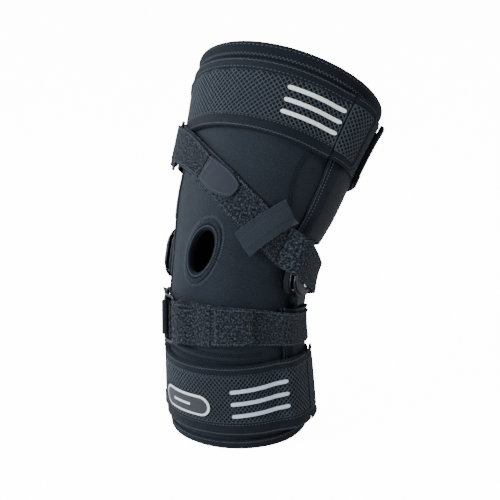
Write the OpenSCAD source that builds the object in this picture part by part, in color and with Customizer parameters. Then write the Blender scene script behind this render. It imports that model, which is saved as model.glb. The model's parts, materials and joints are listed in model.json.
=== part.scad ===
/* [Leg form] */
// Length of the sleeve above the knee centre, along the leg
thigh_len = 170; // [160:1:204]
// Length of the sleeve below the knee centre, along the leg
calf_len = 150; // [144:1:180]
// Outer form at the thigh rim: half width, front depth, back depth
thigh_rim = [87, 85, 77]; // [50:1:110]
// Outer form at the thigh cuff: half width, front depth, back depth
thigh_mid = [76.5, 71.5, 73]; // [50:1:110]
// Outer form just above the knee: half width, front depth, back depth
above_knee = [69, 62, 65]; // [50:1:90]
// Outer form at the knee centre: half width, front depth, back depth
knee = [57, 61, 55]; // [50:0.5:90]
// Outer form just below the knee: half width, front depth, back depth
below_knee = [57.5, 59, 49.5]; // [50:0.5:90]
// Outer form at the calf cuff: half width, front depth, back depth
calf_mid = [59.5, 58.5, 60]; // [50:0.5:100]
// Outer form at the calf rim: half width, front depth, back depth
calf_rim = [62, 53, 62]; // [40:1:100]
// Backward lean of the thigh from upright, degrees
thigh_lean = 36; // [20:1:45]
// Backward lean of the foot end of the shank from upright, degrees
calf_lean = 4; // [0:1:20]
// Half the length over which the leg form bends
bend_half = 55; // [50:1:70]
// Thickness of the sleeve fabric
sleeve_t = 4; // [2:0.5:6]

/* [Hinge] */
// Distance between the two pivots of a hinge, and the gear pitch diameter
pivot_pitch = 18; // [17:1:22]
// Number of teeth on a full gear head
gear_teeth = 16; // [16:1:16]
// Width of a side arm
arm_w = 14; // [12:0.5:15]
// Thickness of a side arm
arm_t = 2.5; // [2:0.1:3.5]
// Length of a thigh arm from its pivot
thigh_arm_len = 128; // [100:1:135]
// Length of a calf arm from its pivot
calf_arm_len = 108; // [90:1:115]
// Thickness of the hinge plates
plate_t = 1.2; // [1:0.1:2]
// Thickness of the washers
washer_t = 0.4; // [0.3:0.1:0.8]
// Diameter of the pivot rivets
rivet_d = 5; // [4:0.1:6]
// Distance from the leg axis to the inner face of the hinge stack
hinge_x = 61.8; // [61.5:0.1:70]
// Thickness of the hinge cover at its crown
cover_t = 3.4; // [3:0.1:6]
// Greatest flexion of one pivot from straight, degrees
pivot_travel = 45; // [30:1:50]

/* [Cuffs] */
// Lower edge of the thigh cuff, along the leg
thigh_cuff_low = 94; // [85:1:100]
// Upper edge of the thigh cuff, along the leg
thigh_cuff_high = 154; // [145:1:156]
// Upper edge of the calf cuff, below the knee
calf_cuff_high = -73; // [-80:1:-72]
// Lower edge of the calf cuff, below the knee
calf_cuff_low = -138; // [-142:1:-130]
// Thickness of a cuff
cuff_t = 2.4; // [1.6:0.1:3]
// Width of the plain trim along the edges of a cuff
cuff_trim = 12; // [6:1:16]
// Thickness of the mesh panels
mesh_t = 0.9; // [0.6:0.1:1.5]
// Width of one stripe
stripe_w = 3.4; // [3:0.1:6]

/* [Straps] */
// Thickness of the webbing
strap_t = 2.2; // [1.6:0.01:2.64]
// Wire diameter of the strap rings
ring_wire = 3; // [2.4:0.1:3.4]
// Height of the patella opening along the leg
patella_h = 28.4; // [20:0.5:32]
// Width of the patella opening round the leg, degrees
patella_w = 23; // [14:1:26]

/* [Hidden] */
$fn = 48;

// Clearances: soft piece on soft piece, layers sewn together, running parts, arm over the
// sleeve, rivet in plate, rivet in arm
seat = 0.3;
ply = 0.2;
run = 0.15;
bearing = 0.08;
arm_gap = 0.7;
fit = 0.03;
// Places along the leg where the form is measured, beside the rims and the knee centre
calf_station = -105;
below_station = -50;
above_station = 55;
thigh_station = 115;
// Walls and small sizes
pocket_t = 1.3;
binding_t = 1.2;
binding_h = 14;
calf_binding_h = 9;
landing_t = 0.9;
tab_t = 2;
hook_t = 0.8;
badge_t = 0.7;
stripe_t = 0.5;
// Hinge layout: pivot offset, gear radii and tooth widths, axial places of the stack
pivot = pivot_pitch / 2;
gear_root = pivot - 1.3;
gear_tip = pivot + 0.8;
tooth_root = 2.1;
tooth_pitch = 1.5;
tooth_top = 0.7;
plate_y = 0.5;
pad_reach = 10;
stop_d = 3;
stop_r = gear_tip + 1.6;
plate_r = stop_r + stop_d / 2 + 1.6;
cover_r = plate_r - 1;
head_x = hinge_x + plate_t + washer_t;
outer_x = head_x + arm_t + washer_t;
cover_x = outer_x + plate_t + 0.2;
// Bend of the form: half of the bend in degrees, lean at the knee, radius of the centreline
half_bend = (thigh_lean + calf_lean) / 2;
knee_lean = (thigh_lean - calf_lean) / 2;
bend_r = bend_half / (half_bend * PI / 180);
// Stations: place along the leg, half width, front depth, back depth
FORM = [
    [-calf_len, calf_rim[0], calf_rim[1], calf_rim[2]],
    [calf_station, calf_mid[0], calf_mid[1], calf_mid[2]],
    [below_station, below_knee[0], below_knee[1], below_knee[2]],
    [0, knee[0], knee[1], knee[2]],
    [above_station, above_knee[0], above_knee[1], above_knee[2]],
    [thigh_station, thigh_mid[0], thigh_mid[1], thigh_mid[2]],
    [thigh_len, thigh_rim[0], thigh_rim[1], thigh_rim[2]]];

function ease(t) = let (u = max(0, min(1, t))) u * u * (3 - 2 * u);
function blend4(a, b, ma, mb, u) = (2 * u * u * u - 3 * u * u + 1) * a
    + (u * u * u - 2 * u * u + u) * ma + (3 * u * u - 2 * u * u * u) * b
    + (u * u * u - u * u) * mb;
function slope(i, k) = let (a = FORM[max(i - 1, 0)], b = FORM[min(i + 1, len(FORM) - 1)])
    (b[k] - a[k]) / (b[0] - a[0]);
function station(s) = max([for (i = [0:len(FORM) - 2]) (i == 0 || s >= FORM[i][0]) ? i : 0]);
// Value k of the form (1 half width, 2 front depth, 3 back depth) at s along the leg
function form(s, k) = let (i = station(s), h = FORM[i + 1][0] - FORM[i][0],
    u = (s - FORM[i][0]) / h)
    blend4(FORM[i][k], FORM[i + 1][k], slope(i, k) * h, slope(i + 1, k) * h, u);
// Lean of the centreline at s, and its place in the side plane as [y, z]
function lean(s) = knee_lean + half_bend * max(-1, min(1, s / bend_half));
function arc_point(s) = [-bend_r * (cos(lean(s)) - cos(knee_lean)),
    bend_r * (sin(lean(s)) - sin(knee_lean))];
function centre(s) = let (c = max(-bend_half, min(bend_half, s)))
    arc_point(c) + (s - c) * [sin(lean(s)), cos(lean(s))];
// Point of the form: angle phi round the leg (0 right, 90 back, -90 front), s along it,
// and lift h above the surface
function skin(phi, s, h) = let (c = centre(s), a = lean(s),
    d = (form(s, sin(phi) < 0 ? 2 : 3) + h) * sin(phi))
    [(form(s, 1) + h) * cos(phi), c[0] + d * cos(a), c[1] - d * sin(a)];
// Smooth curve through a list of points, t from 0 to 1
function along(p, t) = let (n = len(p) - 1, i = min(floor(t * n), n - 1), u = t * n - i,
    a = p[i], b = p[i + 1],
    ma = i > 0 ? (b - p[i - 1]) / 2 : b - a,
    mb = i < n - 1 ? (p[i + 2] - a) / 2 : b - a) blend4(a, b, ma, mb, u);

// Side arms: inner face of an arm at s, its angle round the leg, and the lift of its outer face
function arm_x(s) = let (f = ease((abs(s) - pivot - plate_r - 2) / 18),
    close = form(s, 1) + arm_gap) max(close, head_x * (1 - f) + close * f);
function arm_shift(s) = let (r = lean(s) - knee_lean, z = bend_r * sin(abs(r)), y = bend_r * (1 - cos(r)))
    ((z - pivot) * sin(half_bend) - y * cos(half_bend)) / cos(half_bend - abs(r));
function arm_phi(s) = asin(max(0, arm_shift(s)) / form(s, 3));
function arm_top(s) = arm_x(s) + arm_t - form(s, 1);
function wrap(p) = let (q = (p + 180) % 360) (q < 0 ? q + 360 : q) - 180;
function arm_off(p, s) = let (q = wrap(p), m = abs(q) <= 90 ? q : (q > 0 ? 180 - q : -180 - q))
    abs(m - arm_phi(s));
function bump(p, s, flat, edge) = 1 - ease((arm_off(p, s) - flat) / (edge - flat));
// Lifts of the layers that lie over one another
pocket_flat = 11.5;
pocket_edge = 19;
pocket_half = 21;
pocket_room = 1.7;
over_flat = 15;
over_edge = 35;
pocket_in = function(p, s) seat
    + (arm_top(s) + pocket_room) * bump(p, s, pocket_flat, pocket_edge);
pocket_out = function(p, s) pocket_in(p, s) + pocket_t;
over_in = function(p, s) seat
    + (arm_top(s) + pocket_room + pocket_t + seat) * bump(p, s, over_flat, over_edge);
cuff_out = function(p, s) over_in(p, s) + cuff_t;
mesh_in = function(p, s) cuff_out(p, s) + seat;
mesh_out = function(p, s) mesh_in(p, s) + mesh_t;
mark_in = function(p, s) mesh_out(p, s) + ply;
landing_out = function(p, s) over_in(p, s) + landing_t;
hook_in = function(p, s) landing_out(p, s) + seat;
hook_out = function(p, s) hook_in(p, s) + hook_t;
tab_in = function(p, s) hook_out(p, s) + ply;
tab_out = function(p, s) tab_in(p, s) + tab_t;
function flat(h) = function(p, s) h;
function above(f, h) = function(p, s) f(p, s) + h;

// Triangles of a quad
function tri(a, b, c, d) = [[a, b, c], [a, c, d]];
function join(lists) = [for (l = lists) for (x = l) x];
// Solid sheet on the leg form between two edge curves of [phi, s], n cells long and m wide.
// It runs to the right as seen from outside, with the lower edge first.
module strip(lower, upper, n, m, lift_in, lift_out, closed = false) {
    cols = closed ? n : n + 1;
    grid = [for (i = [0:cols - 1]) let (a = along(lower, i / n), b = along(upper, i / n))
        for (j = [0:m]) a + (b - a) * j / m];
    k = len(grid);
    at = function(i, j) (i % cols) * (m + 1) + j;
    faces = concat(
        join([for (i = [0:n - 1], j = [0:m - 1]) concat(
            tri(at(i, j), at(i, j + 1), at(i + 1, j + 1), at(i + 1, j)),
            tri(k + at(i, j), k + at(i + 1, j), k + at(i + 1, j + 1), k + at(i, j + 1)))]),
        join([for (i = [0:n - 1]) concat(
            tri(at(i, 0), at(i + 1, 0), k + at(i + 1, 0), k + at(i, 0)),
            tri(at(i + 1, m), at(i, m), k + at(i, m), k + at(i + 1, m)))]),
        closed ? [] : join([for (j = [0:m - 1]) concat(
            tri(at(0, j + 1), at(0, j), k + at(0, j), k + at(0, j + 1)),
            tri(at(n, j), at(n, j + 1), k + at(n, j + 1), k + at(n, j)))]));
    polyhedron(concat([for (g = grid) skin(g[0], g[1], lift_out(g[0], g[1]))],
        [for (g = grid) skin(g[0], g[1], lift_in(g[0], g[1]))]), faces, convexity = 8);
}
// Closed band round the leg; low and high give the edges at each angle
module band(low, high, m, lift_in, lift_out) {
    turn = [for (i = [0:24]) -180 + 15 * i];
    strip([for (p = turn) [p, low(p)]], [for (p = turn) [p, high(p)]], 48, m,
        lift_in, lift_out, true);
}
// Straight-ended sheet between two angles and two heights
module panel(p0, p1, s0, s1, n, m, lift_in, lift_out) {
    strip([[p0, s0], [p1, s0]], [[p0, s1], [p1, s1]], n, m, lift_in, lift_out);
}
// Sheet with its far end rounded, for tabs and cuff ends
module round_panel(p0, p1, s0, s1, r, n, m, lift_in, lift_out) {
    low = [[p0, s0], [(p0 + p1) / 2, s0], [p1 - r * 0.6, s0 + r * 0.12], [p1, s0 + r]];
    high = [[p0, s1], [(p0 + p1) / 2, s1], [p1 - r * 0.6, s1 - r * 0.12], [p1, s1 - r]];
    strip(low, high, n, m, lift_in, lift_out);
}

// Frames: the link frame of the hinges, a pivot frame, and a frame on the form
module link_frame() { rotate([-knee_lean, 0, 0]) children(); }
module thigh_frame() {
    link_frame() translate([0, 0, pivot]) rotate([-half_bend, 0, 0]) children();
}
module calf_frame() {
    link_frame() translate([0, 0, -pivot]) rotate([half_bend, 0, 0]) children();
}
module on_side(right) {
    if (right) children();
    else mirror([1, 0, 0]) children();
}
function unit(v) = v / norm(v);
module on_form(phi, s, h, dphi, ds) {
    o = skin(phi, s, h);
    out = unit(cross(skin(phi + 1, s, h) - o, skin(phi, s + 1, h) - o));
    u = unit(skin(phi + dphi * 0.01, s + ds * 0.01, h) - o);
    v = cross(out, u);
    multmatrix([[u[0], v[0], out[0], o[0]], [u[1], v[1], out[1], o[1]],
        [u[2], v[2], out[2], o[2]], [0, 0, 0, 1]]) children();
}
// Extrusion of a (y, z) outline outwards from x
module plate(x, t) { translate([x, 0, 0]) rotate([90, 0, 90]) linear_extrude(t) children(); }

// ---- sleeves ----
thigh_edge = function(p) 48 + 24 * sin(p);
calf_edge = function(p) -40 - 22 * sin(p);
thigh_top = function(p) thigh_len;
calf_bottom = function(p) -calf_len + 3 * sin(p);
patella_s = 3.8;
patella_p = -90.6;
patella_tilt = 0.12;
function patella(t, k) = [patella_p + k * patella_w / 2 * (cos(t) + patella_tilt * sin(t) * 2),
    patella_s + k * patella_h / 2 * sin(t)];
module thigh_sleeve() {
    color("#2d343c") band(thigh_edge, thigh_top, 9, flat(-sleeve_t), flat(0));
}
module calf_sleeve() {
    color("#2d343c") band(calf_bottom, calf_edge, 8, flat(-sleeve_t), flat(0));
}
module patella_plug() {
    n = 24;
    ring = [for (i = [0:n - 1]) patella(-i * 360 / n, 1)];
    mid = patella(0, 0);
    pts = concat([for (g = ring) skin(g[0], g[1], 6)], [for (g = ring) skin(g[0], g[1], -12)],
        [skin(mid[0], mid[1], 6), skin(mid[0], mid[1], -12)]);
    polyhedron(pts, join([for (i = [0:n - 1]) let (j = (i + 1) % n) concat(
        [[i, j, 2 * n], [n + j, n + i, 2 * n + 1]], tri(j, i, n + i, n + j))]), convexity = 2);
}
module knee_sleeve() {
    color("#2d343c") difference() {
        band(function(p) calf_edge(p) + seat, function(p) thigh_edge(p) - seat, 12,
            flat(-sleeve_t), flat(0));
        patella_plug();
    }
}
module patella_binding() {
    turn = [for (i = [0:24]) 15 * i];
    color("#22272e") strip([for (t = turn) patella(t, 1.32)], [for (t = turn) patella(t, 1.02)],
        36, 1, flat(seat), flat(seat + binding_t), true);
}
module thigh_binding() {
    color("#1c2028") band(function(p) thigh_len - binding_h, thigh_top, 1,
        flat(ply), flat(ply + binding_t));
}
module calf_binding() {
    color("#1c2028") band(calf_bottom, function(p) calf_bottom(p) + calf_binding_h, 1,
        flat(ply), flat(ply + binding_t));
}

// ---- side arms, pockets and hinges ----
module gear_head() {
    circle(gear_root);
    for (i = [-5:5]) rotate(180 + i * 360 / gear_teeth) polygon([
        [-tooth_root / 2, gear_root - 0.6], [-tooth_pitch / 2, pivot],
        [-tooth_top / 2, gear_tip], [tooth_top / 2, gear_tip],
        [tooth_pitch / 2, pivot], [tooth_root / 2, gear_root - 0.6]]);
}
// One arm in its pivot frame, up along z; dir is 1 for the thigh and -1 for the calf
module arm(len, dir, phase) {
    steps = [for (t = [0, 13, 16, 19, 22, 25, 28, 31, 35, 40]) t];
    far = [for (i = [1:6]) 40 + (len - 40) * i / 6];
    places = concat(steps, far);
    inner = [for (t = places) [t < 13 ? head_x : arm_x(dir * (t + pivot)), dir * t]];
    outer = [for (i = [len(places) - 1:-1:0]) inner[i] + [arm_t, 0]];
    difference() {
        union() {
            rotate([90, 0, 0]) linear_extrude(arm_w, center = true)
                polygon(concat(inner, outer));
            plate(head_x, arm_t) mirror([0, dir < 0 ? 1 : 0, 0]) rotate(phase) gear_head();
        }
        translate([head_x - 1, 0, 0]) rotate([0, 90, 0])
            cylinder(d = rivet_d + 2 * bearing, h = arm_t + 2);
    }
}
module thigh_arm(right) {
    color("#8d9196") on_side(right) thigh_frame() arm(thigh_arm_len, 1, 0);
}
module calf_arm(right) {
    color("#8d9196") on_side(right) calf_frame()
        arm(calf_arm_len, -1, 180 / gear_teeth);
}
// Moulded tip that closes the far end of an arm
module arm_tip(len, dir) {
    ends = [len + 0.1, len + 5.1];
    x = [for (e = ends) arm_x(dir * (e + pivot))];
    rotate([90, 0, 0]) linear_extrude(arm_w, center = true) polygon([
        [x[0], dir * ends[0]], [x[1], dir * ends[1]],
        [x[1] + arm_t, dir * ends[1]], [x[0] + arm_t, dir * ends[0]]]);
}
module thigh_arm_tips() {
    color("#22252a") for (right = [true, false])
        on_side(right) thigh_frame() arm_tip(thigh_arm_len, 1);
}
module calf_arm_tips() {
    color("#22252a") for (right = [true, false])
        on_side(right) calf_frame() arm_tip(calf_arm_len, -1);
}
thigh_pocket_low = 29;
thigh_pocket_high = 152;
calf_pocket_high = -31;
calf_pocket_low = -131;
module pocket(right, s0, s1) {
    places = [for (i = [0:12]) s0 + (s1 - s0) * i / 12];
    color("#1d2129") on_side(right) strip([for (s = places) [arm_phi(s) + pocket_half, s]],
        [for (s = places) [arm_phi(s) - pocket_half, s]], 20, 10, pocket_in, pocket_out);
}
module stadium(r, half) {
    for (k = [-1, 1]) translate([plate_y, k * half]) circle(r);
    translate([plate_y, 0]) square([2 * r, 2 * half], center = true);
}
// Places of the two pivots and of the stops that end the travel of each arm
stop_back = pivot_travel + asin((arm_w + stop_d) / 2 / stop_r) + 1;
stop_front = -asin((arm_w + stop_d) / 2 / stop_r) - 1;
stops = [for (k = [-1, 1], a = [stop_back, stop_front])
    [stop_r * sin(a), k * (pivot + stop_r * cos(a))]];
module hinge_plate(right, x) {
    color("#34383e") on_side(right) link_frame() difference() {
        plate(x, plate_t) stadium(plate_r, pivot - 1);
        for (k = [-1, 1]) translate([x - 1, 0, k * pivot]) rotate([0, 90, 0])
            cylinder(d = rivet_d + 2 * fit, h = plate_t + 2);
        for (p = stops) translate([x - 1, p[0], p[1]]) rotate([0, 90, 0])
            cylinder(d = stop_d - 1 + 2 * fit, h = plate_t + 2);
    }
}
module rivets(right) {
    color("#c9ccd0") on_side(right) link_frame() for (k = [-1, 1])
        translate([hinge_x, 0, k * pivot]) rotate([0, 90, 0]) {
            cylinder(d = rivet_d, h = outer_x + plate_t - hinge_x);
            translate([0, 0, outer_x + plate_t - hinge_x]) cylinder(d = 8, h = cover_t - 0.6);
        }
}
module washers(right) {
    color("#e4e2da") on_side(right) link_frame() for (k = [-1, 1])
        for (x = [head_x - washer_t, head_x + arm_t + 0.05]) translate([x, 0, k * pivot])
            rotate([0, 90, 0]) difference() {
                cylinder(d = 13, h = washer_t - 0.05);
                translate([0, 0, -1]) cylinder(d = rivet_d + 2 * run, h = washer_t + 2);
            }
}
module stop_pins(right) {
    color("#c9ccd0") on_side(right) link_frame() for (p = stops)
        translate([hinge_x, p[0], p[1]]) rotate([0, 90, 0]) {
            cylinder(d = stop_d - 1, h = outer_x + plate_t - hinge_x);
            translate([0, 0, plate_t + 0.02]) cylinder(d = stop_d,
                h = outer_x - hinge_x - plate_t - 0.04);
        }
}
module hinge_cover(right) {
    color("#15181d") on_side(right) link_frame() difference() {
        hull() {
            plate(cover_x, cover_t / 2) stadium(cover_r, pivot - 3, $fn = 32);
            plate(cover_x, cover_t) stadium(cover_r - 6, pivot - 3, $fn = 32);
        }
        for (k = [-1, 1]) translate([cover_x - 1, 0, k * pivot]) rotate([0, 90, 0])
            cylinder(d = 8 + 4 * run, h = cover_t + 2);
    }
}
module hinge_pad(right) {
    places = [for (i = [0:8]) -20 + 4.5 * i];
    color("#30353c") on_side(right) link_frame() intersection() {
        rotate([90, 0, 0]) linear_extrude(40, center = true) polygon(concat(
            [for (s = places) [form(s, 1) + seat, s]],
            [for (i = [8:-1:0]) [max(hinge_x - 0.2, form(places[i], 1) + seat + 0.2),
                places[i]]]));
        plate(knee[0] - pad_reach, 40) stadium(plate_r + 1, pivot - 1);
    }
}

// ---- cuffs ----
// Both cuffs start behind the right arm and run round the back, the left side and the front
thigh_cuff_start = 16;
thigh_tab_root = 340;
thigh_tab_end = 364;
calf_cuff_start = 42;
calf_tab_root = 368;
calf_tab_end = 391;
// Degrees between a cuff and its tab, and the margins of the hook patch under a tab
tab_gap = 0.3;
hook_root = 3;
hook_end = 4;
hook_side = 10;
// Printed bars: angles of their ends, their heights and their rise
thigh_bars = [299, 338];
thigh_bar_at = [113.5, 124, 134.5];
thigh_bar_rise = 0.5;
calf_bars = [297, 344];
calf_bar_at = [-120.5, -109, -97.5];
calf_bar_rise = 4;
module cuff(p0, p1, s0, s1) { panel(p0, p1, s0, s1, 60, 6, over_in, cuff_out); }
module cuff_mesh(p0, p1, s0, s1) {
    panel(p0, p1, s0 + cuff_trim, s1 - cuff_trim * 0.75, 60, 4, mesh_in, mesh_out);
}
module stripes(ends, heights, rise) {
    color("white") for (s = heights) strip([[ends[0], s], [ends[1], s + rise]],
        [[ends[0], s + stripe_w], [ends[1], s + stripe_w + rise]], 10, 1,
        mark_in, above(mark_in, stripe_t));
}
module landing(p0, p1, s0, s1) { panel(p0, p1, s0, s1, 8, 4, over_in, landing_out); }
module cuff_tab(p0, p1, s0, s1) {
    round_panel(p0 + tab_gap, p1, s0, s1, 7, 10, 4, tab_in, tab_out);
}
module cuff_hook(p0, p1, s0, s1) {
    panel(p0 + hook_root, p1 - hook_end, s0 + hook_side, s1 - hook_side, 6, 4,
        hook_in, hook_out);
}
module thigh_cuff() {
    color("#20252d") cuff(thigh_cuff_start, thigh_tab_root, thigh_cuff_low, thigh_cuff_high);
}
module thigh_cuff_mesh() {
    color("#3a4048") cuff_mesh(thigh_cuff_start + 6, thigh_tab_root - 1,
        thigh_cuff_low, thigh_cuff_high);
}
module thigh_cuff_stripes() { stripes(thigh_bars, thigh_bar_at, thigh_bar_rise); }
module thigh_cuff_landing() {
    color("#262b33") landing(thigh_tab_root + 3, 372, thigh_cuff_low + 2, thigh_cuff_high - 2);
}
module thigh_cuff_tab() {
    color("#20252d") cuff_tab(thigh_tab_root, thigh_tab_end, thigh_cuff_low, thigh_cuff_high);
}
module thigh_cuff_hook() {
    color("#33373e") cuff_hook(thigh_tab_root, thigh_tab_end, thigh_cuff_low, thigh_cuff_high);
}
module calf_cuff() {
    color("#20252d") cuff(calf_cuff_start, calf_tab_root, calf_cuff_low, calf_cuff_high);
}
module calf_cuff_mesh() {
    color("#3a4048") cuff_mesh(calf_cuff_start + 6, calf_tab_root - 1,
        calf_cuff_low, calf_cuff_high);
}
module calf_cuff_stripes() { stripes(calf_bars, calf_bar_at, calf_bar_rise); }
module calf_badge() {
    color("#d6dade") strip([[229, -114], [233, -119.5], [255, -121], [275, -120], [280, -114]],
        [[229, -108], [233, -102.5], [255, -101], [275, -102], [280, -108]], 16, 2, mark_in,
        above(mark_in, badge_t));
}
module calf_cuff_landing() {
    color("#262b33") landing(calf_tab_root + 3, calf_cuff_start + 358,
        calf_cuff_low + 2, calf_cuff_high - 2);
}
module calf_cuff_tab() {
    color("#20252d") cuff_tab(calf_tab_root, calf_tab_end, calf_cuff_low, calf_cuff_high);
}
module calf_cuff_hook() {
    color("#33373e") cuff_hook(calf_tab_root, calf_tab_end, calf_cuff_low, calf_cuff_high);
}

// ---- diagonal strap ----
// Lifts: the strap climbs over the cuff edge to the ring, and its tail over the right hinge
ring_rise = 4;
ring_lift = seat + 0.1 + ring_rise + strap_t + ring_wire / 2 + seat;
fold_in = ring_wire / 2 + seat;
climb = function(p) ease((-104 - p) / 22);
hinge_lift = cover_x + cover_t + 0.6 - form(0, 1);
over_hinge = function(p) hinge_lift * (1 - ease((abs(p - 1) - 13.5) / 14));
diagonal_in = function(p, s) seat + 0.1 + ring_rise * climb(p) + over_hinge(p);
diagonal_out = above(diagonal_in, strap_t);
return_in = function(p, s) diagonal_out(p, s) + seat + (2 * fold_in - seat) * ease((-118 - p) / 24);
tail_in = function(p, s) seat + 0.1 + over_hinge(p);
diagonal_top = [[-149.6, 107], [-124, 90], [-101, 72], [-76.5, 54], [-48, 40], [-22, 30.5]];
diagonal_low = [[-143.6, 66], [-124, 55.5], [-103, 43.5], [-77, 29.5], [-52, 16], [-27, 3.5]];
module diagonal_strap() {
    color("#23282f") strip(diagonal_low, diagonal_top, 28, 2, diagonal_in, diagonal_out);
}
module diagonal_return() {
    color("#262b32") strip([[-143.7, 68], [-124, 57], [-106.5, 48]],
        [[-149.3, 104], [-122, 87], [-100.5, 67]], 12, 2, return_in, above(return_in, strap_t));
}
module diagonal_hook_tab() {
    color("#4a4c57") strip([[-106, 48.2], [-92, 40.5], [-77, 38.5], [-72.4, 44]],
        [[-100, 66.5], [-87, 58.5], [-77, 52], [-72, 47.5]], 12, 2,
        above(diagonal_out, seat), above(diagonal_out, seat + tab_t));
}
module half_tube(inner, outer, long) {
    translate([-long / 2, 0, 0]) rotate([90, 0, 90]) linear_extrude(long) difference() {
        circle(outer);
        circle(inner);
        translate([-outer - 1, -outer - 1]) square([outer + 1, 2 * outer + 2]);
    }
}
// Rectangular wire ring, its strap bar on the x axis and its anchor bar at y = across
module wire_ring(long, across) {
    r = ring_wire / 2;
    c = 3;
    for (y = [0, across]) translate([-long / 2 + c, y, 0]) rotate([0, 90, 0])
        cylinder(r = r, h = long - 2 * c);
    for (x = [-long / 2, long / 2]) translate([x, c, 0]) rotate([-90, 0, 0])
        cylinder(r = r, h = across - 2 * c);
    for (q = [[1, 1, 0], [-1, 1, 90], [-1, -1, 180], [1, -1, 270]])
        translate([q[0] * (long / 2 - c), across / 2 + q[1] * (across / 2 - c), 0])
            rotate(q[2]) rotate_extrude(angle = 90) translate([c, 0]) circle(r);
}
module tube(inner, outer, long) {
    rotate([0, 90, 0]) difference() {
        cylinder(r = outer, h = long, center = true);
        cylinder(r = inner, h = long + 1, center = true);
    }
}
ring_across = 12;
ring_shift = -148;
module diagonal_frame() { on_form(ring_shift, 88, ring_lift, -6, 40) children(); }
module diagonal_fold() {
    color("#262b32") diagonal_frame() half_tube(fold_in, fold_in + strap_t, 36);
}
module diagonal_ring() { color("#1b1d21") diagonal_frame() wire_ring(45, ring_across); }
anchor_in = function(p, s) over_in(p, s) + 0.1 + 1.1 * ease((p + 172) / 14);
module diagonal_anchor() {
    color("#1d2129") {
        diagonal_frame() translate([-10, ring_across, 0]) tube(fold_in, fold_in + 1.6, 15);
        strip([[-182, 73], [-157.5, 70.5]], [[-182, 90], [-159, 86]], 10, 1,
            anchor_in, above(anchor_in, 1.6));
    }
}
module diagonal_keeper() {
    color("#31363d") strip([[-65, 17.5], [-57, 11], [-49, 5]], [[-38, 47.5], [-30, 41], [-22, 35]],
        6, 5, above(diagonal_out, seat), above(diagonal_out, seat + 1.4));
}
module diagonal_tail() {
    color("#23282f") strip([[-26.4, 3.1], [-10, -6], [7, -15], [32, -26], [58, -34]],
        [[-21.4, 30.1], [-8, 23], [9, 14], [34, 3], [62, -6]],
        30, 2, tail_in, above(tail_in, strap_t));
}

// ---- lower strap ----
lower_rise = 2.5;
lower_base_in = function(p, s) over_in(p, s) + 0.1 + lower_rise * ease((268 - p) / 14);
lower_return_in = function(p, s) over_in(p, s) + 0.1 + strap_t + seat
    + (lower_rise + 2 * fold_in - seat) * ease((272 - p) / 16);
module lower_strap() {
    color("#23282f") strip([[250, -55], [285, -54], [320, -56], [360, -64], [395, -68], [450, -70],
        [500, -70], [540, -68], [556, -66]], [[250, -28], [285, -28.5], [320, -30], [360, -35],
        [395, -38], [450, -38], [500, -38], [540, -38], [556, -37]], 56, 2,
        lower_base_in, above(lower_base_in, strap_t));
}
module lower_return() {
    color("#262b32") panel(250.7, 284, -54.5, -28.5, 12, 2, lower_return_in,
        above(lower_return_in, strap_t));
}
module lower_strap_tab() {
    color("#2b3037") round_panel(284.6, 318, -54, -29, 4, 12, 2,
        above(lower_return_in, 0), above(lower_return_in, tab_t));
}
lower_ring_lift = 0.7 + lower_rise + strap_t + ring_wire / 2;
module lower_frame() { on_form(249.5, -41.5, lower_ring_lift, 0, 30) children(); }
module lower_fold() { color("#262b32") lower_frame() half_tube(fold_in, fold_in + strap_t, 33); }
module lower_ring() { color("#1b1d21") lower_frame() wire_ring(41, ring_across); }
module lower_anchor() {
    color("#1d2129") {
        lower_frame() translate([0, ring_across, 0]) tube(fold_in, fold_in + 1.6, 30);
        strip([[199, -57], [233, -56]], [[199, -28], [233, -27]], 12, 1,
            function(p, s) over_in(p, s) + 3 * ease((p - 205) / 28),
            function(p, s) over_in(p, s) + 1.6 + 3 * ease((p - 205) / 28));
    }
}

thigh_sleeve();
thigh_binding();
thigh_cuff();
thigh_cuff_mesh();
thigh_cuff_stripes();
thigh_cuff_landing();
thigh_cuff_tab();
thigh_cuff_hook();
pocket(false, thigh_pocket_low, thigh_pocket_high);  // left_thigh_pocket
pocket(true, thigh_pocket_low, thigh_pocket_high);  // right_thigh_pocket
thigh_arm(false);  // left_thigh_arm
thigh_arm(true);  // right_thigh_arm
thigh_arm_tips();
diagonal_strap();
diagonal_return();
diagonal_fold();
diagonal_ring();
diagonal_anchor();
diagonal_hook_tab();
diagonal_keeper();
diagonal_tail();
knee_sleeve();
patella_binding();
hinge_plate(false, hinge_x);  // left_inner_plate
hinge_plate(false, outer_x);  // left_outer_plate
rivets(false);  // left_rivets
washers(false);  // left_washers
stop_pins(false);  // left_stop_pins
hinge_cover(false);  // left_hinge_cover
hinge_pad(false);  // left_hinge_pad
hinge_plate(true, hinge_x);  // right_inner_plate
hinge_plate(true, outer_x);  // right_outer_plate
rivets(true);  // right_rivets
washers(true);  // right_washers
stop_pins(true);  // right_stop_pins
hinge_cover(true);  // right_hinge_cover
hinge_pad(true);  // right_hinge_pad
calf_sleeve();
calf_binding();
calf_cuff();
calf_cuff_mesh();
calf_cuff_stripes();
calf_badge();
calf_cuff_landing();
calf_cuff_tab();
calf_cuff_hook();
pocket(false, calf_pocket_low, calf_pocket_high);  // left_calf_pocket
pocket(true, calf_pocket_low, calf_pocket_high);  // right_calf_pocket
calf_arm(false);  // left_calf_arm
calf_arm(true);  // right_calf_arm
calf_arm_tips();
lower_strap();
lower_return();
lower_fold();
lower_ring();
lower_anchor();
lower_strap_tab();
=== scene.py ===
# %% [markdown]
# # A hinged knee brace, cut flat and wrapped round a leg
#
# Nearly everything here is cloth: a sleeve, two cuffs, straps, tapes and pockets. A brace
# maker cuts each piece flat, sews it and bends it round a leg form, and this script works
# the same way. A piece is modelled flat, x round the leg, y along it and z outwards, and
# one function wraps the finished piece round the form.

# %% Setup
import json
import math
import bmesh
import bpy
import numpy as np
from mathutils import Matrix, Vector, noise

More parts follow.
